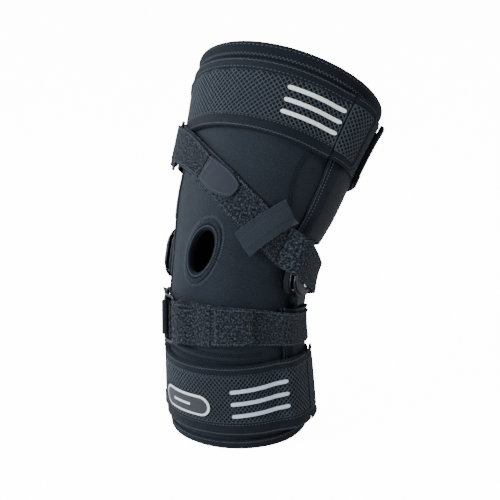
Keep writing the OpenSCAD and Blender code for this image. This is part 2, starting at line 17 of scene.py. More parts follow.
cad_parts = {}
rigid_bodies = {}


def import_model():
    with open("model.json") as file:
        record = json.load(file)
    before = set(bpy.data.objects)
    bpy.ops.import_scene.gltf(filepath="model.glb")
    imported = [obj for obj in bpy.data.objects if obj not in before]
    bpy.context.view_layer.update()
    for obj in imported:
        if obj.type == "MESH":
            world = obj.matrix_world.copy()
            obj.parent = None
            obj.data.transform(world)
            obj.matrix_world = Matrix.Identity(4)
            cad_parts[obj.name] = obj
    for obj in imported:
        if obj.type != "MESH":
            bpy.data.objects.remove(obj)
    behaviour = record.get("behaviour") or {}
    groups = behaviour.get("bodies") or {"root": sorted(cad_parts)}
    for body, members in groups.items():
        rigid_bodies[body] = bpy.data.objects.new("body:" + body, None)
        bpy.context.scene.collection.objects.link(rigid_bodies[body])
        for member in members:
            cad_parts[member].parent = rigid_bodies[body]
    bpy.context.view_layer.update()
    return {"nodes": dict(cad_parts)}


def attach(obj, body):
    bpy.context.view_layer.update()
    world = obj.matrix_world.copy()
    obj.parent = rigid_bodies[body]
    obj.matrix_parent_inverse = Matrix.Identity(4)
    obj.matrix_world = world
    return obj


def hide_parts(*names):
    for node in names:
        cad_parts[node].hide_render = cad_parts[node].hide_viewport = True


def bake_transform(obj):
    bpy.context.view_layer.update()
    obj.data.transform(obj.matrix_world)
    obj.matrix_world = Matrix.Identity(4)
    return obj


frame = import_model()
MM = 0.001

# %% [markdown]
# The leg form is a centreline that bends at the knee and carries an ellipse at every
# height. Its stations repeat the design's own driving sizes. A smooth curve through seven
# stations is enough for a leg, and it keeps every later piece on one common surface.

# %% The leg form
THIGH_LEN, CALF_LEN = 170.0, 150.0
THIGH_LEAN, CALF_LEAN, BEND_HALF = 36.0, 4.0, 55.0
# place along the leg, half width, front depth, back depth
FORM = np.array([
    [-CALF_LEN, 62, 53, 62], [-105, 59.5, 58.5, 60], [-50, 57.5, 59, 49.5],
    [0, 57, 61, 55], [55, 69, 62, 65], [115, 76.5, 71.5, 73], [THIGH_LEN, 87, 85, 77]])
HALF_BEND = (THIGH_LEAN + CALF_LEAN) / 2
KNEE_LEAN = (THIGH_LEAN - CALF_LEAN) / 2
BEND_R = BEND_HALF / math.radians(HALF_BEND)


def ease(t):
    t = np.clip(t, 0, 1)
    return t * t * (3 - 2 * t)


def hermite(a, b, slope_a, slope_b, u):
    return ((2 * u**3 - 3 * u**2 + 1) * a + (u**3 - 2 * u**2 + u) * slope_a
            + (3 * u**2 - 2 * u**3) * b + (u**3 - u**2) * slope_b)


def form(s, k):
    """Size k of the form (1 half width, 2 front, 3 back) at s along the leg."""
    s = np.asarray(s, float)
    x, y = FORM[:, 0], FORM[:, k]
    last = len(x) - 1
    slopes = np.array([(y[min(i + 1, last)] - y[max(i - 1, 0)])
                       / (x[min(i + 1, last)] - x[max(i - 1, 0)]) for i in range(len(x))])
    i = np.clip(np.searchsorted(x, s, side="right") - 1, 0, last - 1)
    h = x[i + 1] - x[i]
    return hermite(y[i], y[i + 1], slopes[i] * h, slopes[i + 1] * h, (s - x[i]) / h)


def lean(s):
    return np.radians(KNEE_LEAN + HALF_BEND * np.clip(s / BEND_HALF, -1, 1))


def centre(s):
    c = np.clip(s, -BEND_HALF, BEND_HALF)
    knee = math.radians(KNEE_LEAN)
    y = -BEND_R * (np.cos(lean(c)) - math.cos(knee)) + (s - c) * np.sin(lean(s))
    z = BEND_R * (np.sin(lean(c)) - math.sin(knee)) + (s - c) * np.cos(lean(s))
    return y, z


def skin(phi, s, lift):
    """Points at angle phi round the leg in degrees, s along it, lift above the form."""
    phi, s, lift = np.broadcast_arrays(np.radians(phi), np.asarray(s, float), lift)
    y, z = centre(s)
    depth = np.where(np.sin(phi) < 0, form(s, 2), form(s, 3))
    r = (depth + lift) * np.sin(phi)
    return np.stack([(form(s, 1) + lift) * np.cos(phi),
                     y + r * np.cos(lean(s)), z - r * np.sin(lean(s))], axis=-1)


rim = skin(np.arange(0, 360, 5), THIGH_LEN, 0)
print("thigh rim is", round(float(np.linalg.norm(np.roll(rim, 1, 0) - rim, axis=1).sum())),
      "mm round")

# %% [markdown]
# The hinge arms make a ridge down each side, and every layer over them has to climb it.
# The lifts below follow the same rules as the design: arm, pocket, cuff, mesh, tab.

# %% Lifts of the layers
PIVOT, PLATE_R, HEAD_X = 9.0, 14.5, 63.4
ARM_T, ARM_GAP, POCKET_ROOM, POCKET_T = 2.5, 0.7, 1.7, 1.3
SEAT, PLY = 0.3, 0.2
CUFF_T, MESH_T, LANDING_T, HOOK_T, TAB_T, STRAP_T = 2.4, 0.9, 0.9, 0.8, 2.0, 2.2
COVER_TOP, STRAP_CLEAR = 71.1, 0.6
PLATE_CLEAR, ARM_BEND = 2.0, 18.0
# degrees from an arm up to which a layer keeps its full height, and where it is down again
POCKET_RIDGE, OVER_RIDGE = (11.5, 19), (15, 35)
HINGE_PHI, HINGE_FLAT, HINGE_SLOPE = 1.0, 13.5, 14.0


def arm_x(s):
    f = ease((np.abs(s) - PIVOT - PLATE_R - PLATE_CLEAR) / ARM_BEND)
    near = form(s, 1) + ARM_GAP
    return np.maximum(near, HEAD_X * (1 - f) + near * f)


def arm_top(s):
    return arm_x(s) + ARM_T - form(s, 1)


def arm_phi(s):
    r = np.abs(lean(s) - math.radians(KNEE_LEAN))
    half = math.radians(HALF_BEND)
    z, y = BEND_R * np.sin(r), BEND_R * (1 - np.cos(r))
    shift = ((z - PIVOT) * math.sin(half) - y * math.cos(half)) / np.cos(half - r)
    return np.degrees(np.arcsin(np.maximum(0, shift) / form(s, 3)))


def ridge(phi, s, flat, edge):
    """1 over the nearest arm, 0 away from it."""
    q = (np.asarray(phi) + 180) % 360 - 180
    q = np.where(np.abs(q) <= 90, q, np.where(q > 0, 180 - q, -180 - q))
    return 1 - ease((np.abs(q - arm_phi(s)) - flat) / (edge - flat))


def flat_lift(phi, s):
    return 0 * s


def pocket_in(phi, s):
    return SEAT + (arm_top(s) + POCKET_ROOM) * ridge(phi, s, *POCKET_RIDGE)


def over_in(phi, s):
    return SEAT + (arm_top(s) + POCKET_ROOM + POCKET_T + SEAT) * ridge(phi, s, *OVER_RIDGE)


def over_hinge(phi):
    """Rise of the diagonal strap over the right hinge."""
    top = COVER_TOP + STRAP_CLEAR - float(form(0, 1))
    return top * (1 - ease((np.abs(phi - HINGE_PHI) - HINGE_FLAT) / HINGE_SLOPE))


print("layers rise", round(float(over_in(0, 60.0)), 1), "mm over an arm and",
      round(float(over_hinge(HINGE_PHI)), 1), "mm over the right hinge")

# %% [markdown]
# ## Flat patterns
#
# `pattern` makes a grid between two edge curves, given as lists of (angle, place). `wrap`
# bends a finished flat piece round the form. Thickness, bevels and holes are made in
# between, where a tool such as solidify is exact because the cloth still lies flat. The flat
# layout is kept as the UV map, so weaves and stitches follow the cloth.

# %% Pattern tools
R_FLAT = 62.0
DEG = R_FLAT * math.pi / 180
UV_SCALE = 0.1
CLOTH_CREASE, PART_CREASE = 0.9, 0.7


def along(points, t):
    """Smooth curve through a list of points, t from 0 to 1."""
    p = np.asarray(points, float)
    n = len(p) - 1
    i = min(int(t * n), n - 1)
    u = t * n - i
    slope_a = (p[i + 1] - p[i - 1]) / 2 if i > 0 else p[i + 1] - p[i]
    slope_b = (p[i + 2] - p[i]) / 2 if i < n - 1 else p[i + 1] - p[i]
    return hermite(p[i], p[i + 1], slope_a, slope_b, u)


def grid(bm, n, m):
    """Adds a grid of n by m cells, 1 by 1 about the origin, and returns its corners."""
    return bmesh.ops.create_grid(bm, x_segments=n, y_segments=m, size=0.5)["verts"]


def pattern(lower, upper, n, m):
    """Flat grid of n by m cells between two edge curves of (angle, place)."""
    bm = bmesh.new()
    low = [along(lower, i / n) for i in range(n + 1)]
    high = [along(upper, i / n) for i in range(n + 1)]
    for v in grid(bm, n, m):
        i, w = round((v.co.x + 0.5) * n), v.co.y + 0.5
        p = low[i] * (1 - w) + high[i] * w
        v.co = (p[0] * DEG, p[1], 0)
    return bm


def panel(p0, p1, s0, s1, n, m):
    return pattern([(p0, s0), (p1, s0)], [(p0, s1), (p1, s1)], n, m)


def thicken(bm, t, bevel=0.0):
    """Gives the flat cloth its thickness upwards, and rounds its cut edges."""
    bmesh.ops.recalc_face_normals(bm, faces=bm.faces)
    if sum(f.normal.z for f in bm.faces) > 0:
        bmesh.ops.reverse_faces(bm, faces=bm.faces)
    bmesh.ops.solidify(bm, geom=bm.faces[:], thickness=t)
    bmesh.ops.recalc_face_normals(bm, faces=bm.faces)
    if bevel:
        sharp = [e for e in bm.edges if e.is_manifold and e.calc_face_angle() > 1.2]
        bmesh.ops.bevel(bm, geom=sharp, offset=bevel, segments=2, profile=0.5,
                        affect="EDGES", material=-1)
    return bm


def finish_mesh(bm, name, material, crease=CLOTH_CREASE):
    """Turns the faces outwards, keeps edges past the crease angle sharp, makes the piece."""
    bmesh.ops.recalc_face_normals(bm, faces=bm.faces)
    for e in bm.edges:
        if e.is_manifold and e.calc_face_angle() > crease:
            e.smooth = False
    mesh = bpy.data.meshes.new(name)
    bm.to_mesh(mesh)
    bm.free()
    for f in mesh.polygons:
        f.use_smooth = True
    obj = bpy.data.objects.new(name, mesh)
    bpy.context.scene.collection.objects.link(obj)
    for m in material if isinstance(material, list) else [material]:
        mesh.materials.append(m)
    return obj


def flat_uv(bm, y_scale=1.0):
    """Keeps the flat layout as the UV map."""
    uv = bm.loops.layers.uv.new("flat")
    for f in bm.faces:
        for loop in f.loops:
            loop[uv].uv = loop.vert.co.x * UV_SCALE, loop.vert.co.y * y_scale * UV_SCALE


def wrap_points(co, lift):
    phi = co[:, 0] / DEG
    return skin(phi, co[:, 1], lift(phi, co[:, 1]) + co[:, 2]) * MM


def wrap(bm, name, material, lift, weld=False):
    """Bends a flat piece round the leg."""
    flat_uv(bm)
    bm.verts.ensure_lookup_table()
    placed = wrap_points(np.array([v.co for v in bm.verts]), lift)
    for v, p in zip(bm.verts, placed):
        v.co = p
    if weld:
        bmesh.ops.remove_doubles(bm, verts=bm.verts, dist=0.02 * MM)
    return finish_mesh(bm, name, material)


def thread(bm, route, count, width, reach=0.0):
    """Thread along a route of (angle, place): zigzag if it has a reach, running stitch if
    that is 0, and a plain tape if it is None."""
    cells = grid(bm, count, 1)
    if reach == 0:
        faces = {f for v in cells for f in v.link_faces}
        gaps = [f for f in faces if int((f.calc_center_median().x + 0.5) * count) % 2]
        bmesh.ops.delete(bm, geom=gaps, context="FACES")
    for v in cells:
        if not v.is_valid:
            continue
        i = round((v.co.x + 0.5) * count)
        p, q = along(route, i / count), along(route, min(1, (i + 1) / count))
        o = along(route, max(0, (i - 1) / count))
        d = Vector(((q[0] - o[0]) * DEG, q[1] - o[1])).normalized()
        side = (reach or 0) * (1 if i % 2 else -1) + width * (0.5 if v.co.y > 0 else -0.5)
        v.co = (p[0] * DEG - d.y * side, p[1] + d.x * side, 0)


def edging(place, n, profile):
    """Tape folded over an edge: a closed profile of (offset, lift) swept along it."""
    bm = bmesh.new()
    m = len(profile)
    for v in grid(bm, n, m):
        i, j = round((v.co.x + 0.5) * n), round((v.co.y + 0.5) * m)
        offset, lift = profile[j % m]
        p = place(i / n, offset)
        v.co = (p[0] * DEG, p[1], lift)
    bmesh.ops.remove_doubles(bm, verts=bm.verts, dist=1e-4)
    return bm


print("one degree round the leg is", round(DEG, 3), "mm of cloth")

# %% [markdown]
# ## Bodies
#
# The thigh part, the hinge links and the calf part move apart when the knee bends, and the
# fabric between them has to stretch. Whatever passes the knee centre is cut there, on the
# plane between the two pivots.


def filed(obj, nodes):
    if nodes:
        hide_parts(*nodes)
    return obj


def rides(obj, body, slot, *nodes):
    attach(obj, body)
    return filed(obj, nodes)


def bends(obj, upper, slot, *nodes):
    """Bakes the piece's transform into its mesh and hides the CAD nodes it replaces."""
    if upper:
        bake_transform(obj)
    else:
        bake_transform(obj)
    return filed(obj, nodes)


def cut_at_knee(bm, keep_upper):
    """Keeps one side of the flat piece; the other half meets it on the cut."""
    bmesh.ops.bisect_plane(bm, geom=bm.verts[:] + bm.edges[:] + bm.faces[:], dist=0.001,
                           plane_co=(0, 0, 0), plane_no=(0, 1, 0), clear_inner=keep_upper,
                           clear_outer=not keep_upper)


HALVES = (True, "upper"), (False, "lower")

# %% [markdown]
# ## Materials
#
# Two node groups are built once and shared. `weave` raises crossed ribs from the flat
# layout, and `heather` mixes two yarn colours with noise. Every cloth below is one of these
# two with its own numbers, so the fabrics stay related and yet read as different cloths.

# %% Shared node groups


def add(tree, kind, values=None, **settings):
    """New shader node with its settings and the values of its free inputs."""
    node = tree.nodes.new("ShaderNode" + kind)
    for key, value in settings.items():
        setattr(node, key, value)
    for key, value in (values or {}).items():
        node.inputs[key].default_value = value
    return node


def join(tree, *links):
    """Links (node, output, node, input), each socket by its name or number."""
    for a, out, b, into in links:
        tree.links.new(a.outputs[out], b.inputs[into])


def new_group(name, inputs, outputs):
    group = bpy.data.node_groups.new(name, "ShaderNodeTree")
    for way, sockets in (("INPUT", inputs), ("OUTPUT", outputs)):
        for label, kind in sockets.items():
            group.interface.new_socket(label, in_out=way, socket_type="NodeSocket" + kind)
    return group, group.nodes.new("NodeGroupInput"), group.nodes.new("NodeGroupOutput")


def make_weave():
    group, a, b = new_group(
        "weave", {"Vector": "Vector", "Scale": "Float", "Strength": "Float", "Fuzz": "Float"},
        {"Normal": "Vector"})
    ribs = add(group, "Math", operation="MULTIPLY")
    for i, direction in enumerate("XY"):
        wave = add(group, "TexWave", {"Distortion": 0.6, "Detail": 1},
                   bands_direction=direction)
        join(group, (a, "Vector", wave, "Vector"), (a, "Scale", wave, "Scale"),
             (wave, "Fac", ribs, i))
    fibres = add(group, "TexNoise", {"Scale": 22, "Detail": 6, "Roughness": 0.7})
    fuzz = add(group, "Math", operation="MULTIPLY_ADD")
    bump = add(group, "Bump", {"Distance": 0.0003})
    join(group, (a, "Vector", fibres, "Vector"), (fibres, "Fac", fuzz, 0),
         (a, "Fuzz", fuzz, 1), (ribs, 0, fuzz, 2), (fuzz, 0, bump, "Height"),
         (a, "Strength", bump, "Strength"), (bump, "Normal", b, "Normal"))
    return group


# places of the colour sockets on a mix node
MIX_A, MIX_B, MIX_OUT = 6, 7, 2


def make_heather():
    group, a, b = new_group(
        "heather", {"Vector": "Vector", "Dark": "Color", "Light": "Color", "Scale": "Float",
                    "Amount": "Float"}, {"Color": "Color"})
    grain = add(group, "TexNoise", {"Detail": 5, "Roughness": 0.75})
    spread = add(group, "MapRange", {"From Min": 0.47, "From Max": 0.68})
    amount = add(group, "Math", operation="MULTIPLY")
    mix = add(group, "Mix", data_type="RGBA")
    join(group, (a, "Vector", grain, "Vector"), (a, "Scale", grain, "Scale"),
         (grain, "Fac", spread, "Value"), (spread, "Result", amount, 0),
         (a, "Amount", amount, 1), (amount, 0, mix, "Factor"), (a, "Dark", mix, MIX_A),
         (a, "Light", mix, MIX_B), (mix, MIX_OUT, b, "Color"))
    return group


WEAVE, HEATHER = make_weave(), make_heather()
print("shared groups:", WEAVE.name, HEATHER.name)

# %% [markdown]
# Cloth colours are dark, and a little sheen lifts the edges that turn away from the viewer,
# the way short fibres do. After its two colours, a cloth names the scale of its weave and
# that of its heather.

# %% Cloth materials


def shader(name, color, rough, **extra):
    mat = bpy.data.materials.new(name)
    mat.use_nodes = True
    s = mat.node_tree.nodes["Principled BSDF"]
    s.inputs["Base Color"].default_value = (*color, 1)
    s.inputs["Roughness"].default_value = rough
    for key, value in extra.items():
        s.inputs[key.replace("_", " ")].default_value = value
    return mat, s


def weave_bump(tree, s, place, scale, strength, fuzz):
    """Weave in the normal of shader s, laid out by place: a node and its output."""
    weave = add(tree, "Group", {"Scale": scale, "Strength": strength, "Fuzz": fuzz},
                node_tree=WEAVE)
    join(tree, (*place, weave, "Vector"), (weave, "Normal", s, "Normal"))


def cloth(name, dark, light, scale, speck, rough=0.6, strength=0.5, fuzz=1.0, amount=0.5,
          sheen=0.05, uv=True):
    """Heathered weave on the flat layout, or on place where a piece has no such layout."""
    mat, s = shader(name, dark, rough, Sheen_Weight=sheen, Sheen_Roughness=0.45,
                    Specular_IOR_Level=0.16)
    tree = mat.node_tree
    if uv:
        place = add(tree, "UVMap", uv_map="flat"), "UV"
    else:
        grow = add(tree, "VectorMath", operation="SCALE")
        grow.inputs["Scale"].default_value = 100
        join(tree, (add(tree, "TexCoord"), "Object", grow, 0))
        place = grow, 0
    weave_bump(tree, s, place, scale, strength, fuzz)
    heather = add(tree, "Group", {"Dark": (*dark, 1), "Light": (*light, 1), "Scale": speck,
                                  "Amount": amount}, node_tree=HEATHER)
    join(tree, (*place, heather, "Vector"), (heather, "Color", s, "Base Color"))
    return mat


KNIT = cloth("sleeve_knit", (0.0075, 0.0108, 0.0165), (0.032, 0.042, 0.057), 7, 9,
             rough=0.55, amount=0.6)
TAPE = cloth("binding", (0.0042, 0.006, 0.0098), (0.017, 0.023, 0.032), 5, 12, rough=0.85,
             strength=0.6, amount=0.6, sheen=0.06)
TRIM = cloth("cuff_trim", (0.0042, 0.006, 0.010), (0.013, 0.018, 0.027), 8, 14, rough=0.66,
             strength=0.4)
NET = cloth("net", (0.036, 0.044, 0.055), (0.11, 0.125, 0.145), 14, 22, strength=0.4,
            amount=0.7, sheen=0.1)
PILE = cloth("loop_pile", (0.0032, 0.0044, 0.007), (0.15, 0.175, 0.21), 3, 6.5, rough=0.95,
             strength=1.0, fuzz=3.0, amount=0.62, sheen=0.08)
TRICOT = cloth("tricot", (0.0045, 0.0062, 0.0115), (0.011, 0.0145, 0.022), 12, 14,
               rough=0.5, strength=0.25, amount=0.4)
ELASTIC = cloth("ribbed_elastic", (0.013, 0.0165, 0.023), (0.06, 0.07, 0.085), 12, 18,
                rough=0.7, sheen=0.08)
TAB = cloth("smooth_tab", (0.019, 0.0205, 0.030), (0.042, 0.046, 0.060), 14, 18,
            strength=0.3, sheen=0.08)
THREAD = cloth("thread", (0.06, 0.072, 0.09), (0.16, 0.185, 0.215), 14, 8, strength=0.3,
               amount=0.6, sheen=0.1)
SEAM = cloth("seam_thread", (0.022, 0.028, 0.037), (0.06, 0.07, 0.085), 14, 8,
             strength=0.3, amount=0.6)
# A lighter copy of the ribbed elastic for the keeper's rib crests: a painted highlight.
ELASTIC_RIB_HIGHLIGHT = cloth("elastic_rib_painted_highlight", (0.04, 0.049, 0.062), (0.11, 0.125, 0.15), 12, 18,
                    rough=0.7, sheen=0.08)
HOOK = cloth("hook_tape", (0.012, 0.014, 0.018), (0.035, 0.038, 0.045), 6, 14, rough=0.55,
             strength=1.0, fuzz=0.4, amount=0.4, sheen=0.03)
FOAM = cloth("pad_foam", (0.007, 0.009, 0.013), (0.02, 0.025, 0.032), 3, 5, rough=0.85,
             uv=False)
print(len(bpy.data.materials), "materials so far")

# %% Print, metal and plastic materials


def printed(name, color, rough):
    """Raised print with the faint crossed ribs of the mesh under it."""
    mat, s = shader(name, color, rough, Coat_Weight=0.15, Coat_Roughness=0.4)
    place = add(mat.node_tree, "UVMap", uv_map="flat"), "UV"
    weave_bump(mat.node_tree, s, place, scale=4, strength=0.5, fuzz=0.3)
    return mat


def metal(name, color, rough, metallic, scale, spread):
    """Metal or plastic with a faint unevenness in its gloss."""
    mat, s = shader(name, color, rough, Metallic=metallic)
    tree = mat.node_tree
    grain = add(tree, "TexNoise", {"Scale": scale, "Detail": 4})
    gloss = add(tree, "MapRange", {"To Min": rough - spread, "To Max": rough + spread})
    join(tree, (add(tree, "TexCoord"), "Object", grain, "Vector"),
         (grain, "Fac", gloss, "Value"), (gloss, "Result", s, "Roughness"))
    return mat


WHITE_PRINT = printed("reflective_print", (0.93, 0.93, 0.93), 0.4)
SILVER_PRINT = printed("silver_print", (0.62, 0.67, 0.76), 0.4)
BADGE_EDGE = printed("badge_edge", (0.78, 0.80, 0.83), 0.45)
BADGE_FIELD = printed("badge_field", (0.02, 0.022, 0.027), 0.5)
ALUMINIUM = metal("arm_aluminium", (0.02, 0.023, 0.028), 0.38, 0.7, 300, 0.06)
MOULDED = metal("moulded_black", (0.010, 0.011, 0.014), 0.38, 0.0, 500, 0.08)
RING = metal("ring_metal", (0.012, 0.013, 0.015), 0.3, 0.0, 400, 0.07)
PLATE = metal("plate_steel", (0.02, 0.022, 0.025), 0.4, 0.6, 300, 0.08)
RIVET = metal("rivet_steel", (0.70, 0.71, 0.72), 0.22, 1.0, 300, 0.05)
WASHER = metal("washer_polymer", (0.04, 0.043, 0.048), 0.5, 0.0, 200, 0.05)
print(len(bpy.data.materials), "materials in all")

# %% [markdown]
# ## Sleeve
#
# The sleeve is two tubes that meet at the knee centre. Both are cut flat with their share
# of the kneecap hole: cells inside the hole go, and the edge that is left is moved onto the
# true oval. Wrinkles only ever go inwards, so the layers on top stay clear.

# %% Sleeve shape
KNEECAP_W, KNEECAP_H = 23.0, 28.4
KNEECAP_P, KNEECAP_S, KNEECAP_TILT = -90.6, 3.8, 0.12
SLEEVE_T, CELL, CELL_TURN = 4.0, 2.6, 2.4
CALF_DIP = 3.0


def kneecap(t, k):
    """Point on the kneecap oval, k times its size, as (angle, place)."""
    return (KNEECAP_P + k * KNEECAP_W / 2 * (math.cos(t) + 2 * KNEECAP_TILT * math.sin(t)),
            KNEECAP_S + k * KNEECAP_H / 2 * math.sin(t))


def kneecap_polar(phi, s):
    sin_k = (s - KNEECAP_S) / (KNEECAP_H / 2)
    cos_k = (phi - KNEECAP_P) / (KNEECAP_W / 2) - 2 * KNEECAP_TILT * sin_k
    return np.hypot(cos_k, sin_k), np.arctan2(sin_k, cos_k)


def wrinkles(phi, s):
    phi, s = np.asarray(phi, float), np.asarray(s, float)
    a = np.radians(phi)
    back = np.clip(np.sin(a), 0, 1) ** 1.5 * np.exp(-((s + 4) / 34) ** 2)
    folds = back * 2.4 * (0.5 + 0.5 * np.sin(s * 0.42 + 1.4 * np.sin(2 * a) + 0.8))
    side = np.exp(-((phi + 38) / 16) ** 2 - ((s - 2) / 26) ** 2)
    pulls = side * 0.9 * (0.5 + 0.5 * np.sin(s * 0.55 + phi * 0.16))
    loose = 0.25 * (1 + np.sin(s * 0.09 + 3 * a) * np.cos(s * 0.05 - 2 * a + 1))
    k = kneecap_polar(phi, s)[0]
    return -(folds + pulls + loose) * ease((k - 1.3) / 0.6)


def calf_rim_s(p):
    return -CALF_LEN + CALF_DIP * math.sin(math.radians(p))


def sleeve_half(name, upper):
    turn = [-180 + 7.5 * i for i in range(49)]
    zero = [(p, 0.0) for p in turn]
    n, m = round(360 / CELL_TURN), round((THIGH_LEN if upper else CALF_LEN) / CELL)
    if upper:
        bm = pattern(zero, [(p, THIGH_LEN) for p in turn], n, m)
    else:
        bm = pattern([(p, calf_rim_s(p)) for p in turn], zero, n, m)
    middles = [(f, f.calc_center_median()) for f in bm.faces]
    inside = [f for f, c in middles if kneecap_polar(c.x / DEG, c.y)[0] < 1]
    bmesh.ops.delete(bm, geom=inside, context="FACES")
    cut_t = math.asin(-KNEECAP_S / (KNEECAP_H / 2))
    for v in bm.verts:
        k, t = kneecap_polar(v.co.x / DEG, v.co.y)
        on_cut = abs(v.co.y) < 1e-6
        if not v.is_boundary or k > (1.02 if on_cut else 2):
            continue
        if on_cut:
            t = cut_t if math.cos(t) > 0 else math.pi - cut_t
        p = kneecap(float(t), 1.0)
        v.co = (p[0] * DEG, p[1], 0)
    thicken(bm, SLEEVE_T)
    for v in bm.verts:
        v.co.z -= SLEEVE_T
    ends = [f for f in bm.faces if all(abs(abs(v.co.x) - 180 * DEG) < 0.01 for v in f.verts)
            or all(abs(v.co.y) < 1e-6 for v in f.verts)]
    bmesh.ops.delete(bm, geom=ends, context="FACES")
    return wrap(bm, name, KNIT, wrinkles, weld=True)


sleeve_upper = bends(sleeve_half("sleeve_upper", True), True, "sleeve_fabric",
                     "thigh_sleeve", "knee_sleeve")
sleeve_lower = bends(sleeve_half("sleeve_lower", False), False, "sleeve_fabric",
                     "calf_sleeve")
for o in (sleeve_upper, sleeve_lower):
    print(o.name, [round(d / MM) for d in o.dimensions], "mm,", len(o.data.polygons), "faces")

# %% [markdown]
# Bindings are a tape folded over each cut edge. One closed profile is swept along the rim
# or round the kneecap oval, and a zigzag of thread holds it down.

# %% Bindings
BINDING_H, CALF_BINDING_H, RIM_OUT = 14.0, 9.0, 0.7


def rim_profile(h, inner):
    """Tape over a rim: offset is the distance below the edge, lift is above the skin."""
    return [(h, 0.2), (h, 1.0), (h - 1, 1.4), (h * 0.5, 1.5), (1.5, 1.45), (0.2, 0.9),
            (-0.5, -0.4), (-0.6, -SLEEVE_T / 2), (-0.4, -SLEEVE_T - 0.3),
            (0.8, -SLEEVE_T - 1.1), (h * 0.5, -SLEEVE_T - 1.2), (inner, -SLEEVE_T - 0.9),
            (inner, -SLEEVE_T - 0.1), (h * 0.4, -SLEEVE_T + 0.1), (0.6, -SLEEVE_T + 0.4),
            (0.5, -0.4), (h * 0.4, 0.1)]


def thigh_rim_at(t, offset):
    return -180 + 360 * t, THIGH_LEN - RIM_OUT - offset


def calf_rim_at(t, offset):
    p = -180 + 360 * t
    return p, calf_rim_s(p) + RIM_OUT + offset


def kneecap_at(t, offset):
    return kneecap(2 * math.pi * t, offset)


rides(wrap(edging(thigh_rim_at, 180, rim_profile(BINDING_H - RIM_OUT, 9)), "thigh_edge_tape",
           TAPE, flat_lift, weld=True), "thigh", "binding_tape", "thigh_binding")
rides(wrap(edging(calf_rim_at, 180, rim_profile(CALF_BINDING_H - RIM_OUT, 7)), "calf_edge_tape",
           TAPE, flat_lift, weld=True), "calf", "binding_tape", "calf_binding")

# offset is a share of the oval's size here
KNEECAP_PROFILE = [(1.36, 0.25), (1.345, 0.9), (1.31, 1.25), (1.2, 1.45), (1.08, 1.5),
                   (1.0, 1.15), (0.965, 0.3), (0.955, -1.5), (0.965, -3.8), (1.0, -4.6),
                   (1.1, -5.0), (1.22, -4.9), (1.23, -4.1), (1.1, -4.05), (1.03, -3.6),
                   (1.025, -0.4), (1.1, 0.2)]
for upper, side in HALVES:
    bm = edging(kneecap_at, 144, KNEECAP_PROFILE)
    cut_at_knee(bm, upper)
    piece = wrap(bm, f"kneecap_tape_{side}", TAPE, flat_lift)
    bends(piece, upper, "binding_tape", *(["patella_binding"] if upper else []))
print("three edges bound with tape")

# %% [markdown]
# ## Seams
#
# Seam threads lie a hair above the cloth they hold. Those that pass the knee centre are
# split there like the sleeve under them.

# %% Stitch rows


def stitches(name, rows, lift, thickness=0.35, material=THREAD):
    """Rows of (route, count, width, reach) on one lift, as one piece."""
    bm = bmesh.new()
    for row in rows:
        thread(bm, *row)
    return wrap(thicken(bm, thickness), name, material, lift)


def sew(name, rows, lift, upper=None, body=None, thickness=0.3, slot="binding_tape",
        material=THREAD):
    piece = stitches(name, rows, lift, thickness, material)
    return rides(piece, body, slot) if body else bends(piece, upper, slot)


def at_lift(h):
    return lambda phi, s: h + 0 * s


def turn_route(p0, p1, place, steps=36):
    return [(p0 + (p1 - p0) * i / steps, place(p0 + (p1 - p0) * i / steps))
            for i in range(steps + 1)]


sew("thigh_rim_stitch", [(turn_route(-180, 180, lambda p: THIGH_LEN - 11.5), 300, 0.55, 1.0),
                         (turn_route(-180, 180, lambda p: THIGH_LEN - 3.5), 260, 0.4, 0)],
    at_lift(1.5), body="thigh")
sew("calf_rim_stitch", [(turn_route(-180, 180, lambda p: calf_rim_s(p) + 7), 260, 0.5, 0.8)],
    at_lift(1.52), body="calf")
cut_t = math.asin(-KNEECAP_S / (KNEECAP_H / 2 * 1.23))
for upper, side in HALVES:
    t0, t1 = (cut_t, math.pi - cut_t) if upper else (math.pi - cut_t, 2 * math.pi + cut_t)
    turns = [t0 + (t1 - t0) * i / 30 for i in range(31)]
    rows = [([kneecap(t, k) for t in turns], count, 0.38, reach)
            for k, count, reach in ((1.3, 100, 1.0), (1.1, 80, 0.4))]
    sew(f"kneecap_stitch_{side}", rows, at_lift(1.45), upper=upper)
    outer = [kneecap(t, 1.52) for t in turns]
    outer = [(p, max(q, 0.3) if upper else min(q, -0.3)) for p, q in outer]
    sew(f"kneecap_outer_stitch_{side}", [(outer, 90, 0.55, 0.9)], at_lift(0.06),
        upper=upper)
print("rim and kneecap stitches done")

# %% [markdown]
# Flat seams join the panels of the sleeve: one down the left side in front of the pockets,
# a short one on the right of the thigh, and two across the calf under the lower strap.

# %% Panel seams


def flat_seam(name, route, upper, count):
    sew(name, [(route, count, 3.2, None)], at_lift(0.05), upper=upper,
        slot="sleeve_fabric", material=TAPE)
    sew(name + "_stitch", [(route, count, 0.4, 1.2)], at_lift(0.35), upper=upper,
        thickness=0.2, slot="sleeve_fabric", material=SEAM)


flat_seam("thigh_seam_left", [(-133, 0.5), (-136, 25), (-138, 50), (-139, 80), (-140, 96)],
          True, 110)
flat_seam("thigh_seam_right", [(-31, 44), (-36, 58), (-37, 76), (-33, 96)], True, 60)
flat_seam("calf_seam_left", [(-133, -0.5), (-134, -25), (-136, -50), (-138, -72)], False, 80)
flat_seam("calf_seam_front", [(-140, -60), (-118, -60.5), (-90, -62), (-62, -63.5),
                              (-34, -65)], False, 120)
flat_seam("calf_seam_low", [(-140, -67), (-118, -67.5), (-90, -69), (-62, -70), (-34, -71)],
          False, 120)
print("five panel seams")

# %% [markdown]
# ## Cuffs
#
# A cuff is a padded band with smooth trims and a panel of open net between them. The net is
# real: a grid turned to diamonds, cut to the panel, each cell inset and its middle removed.

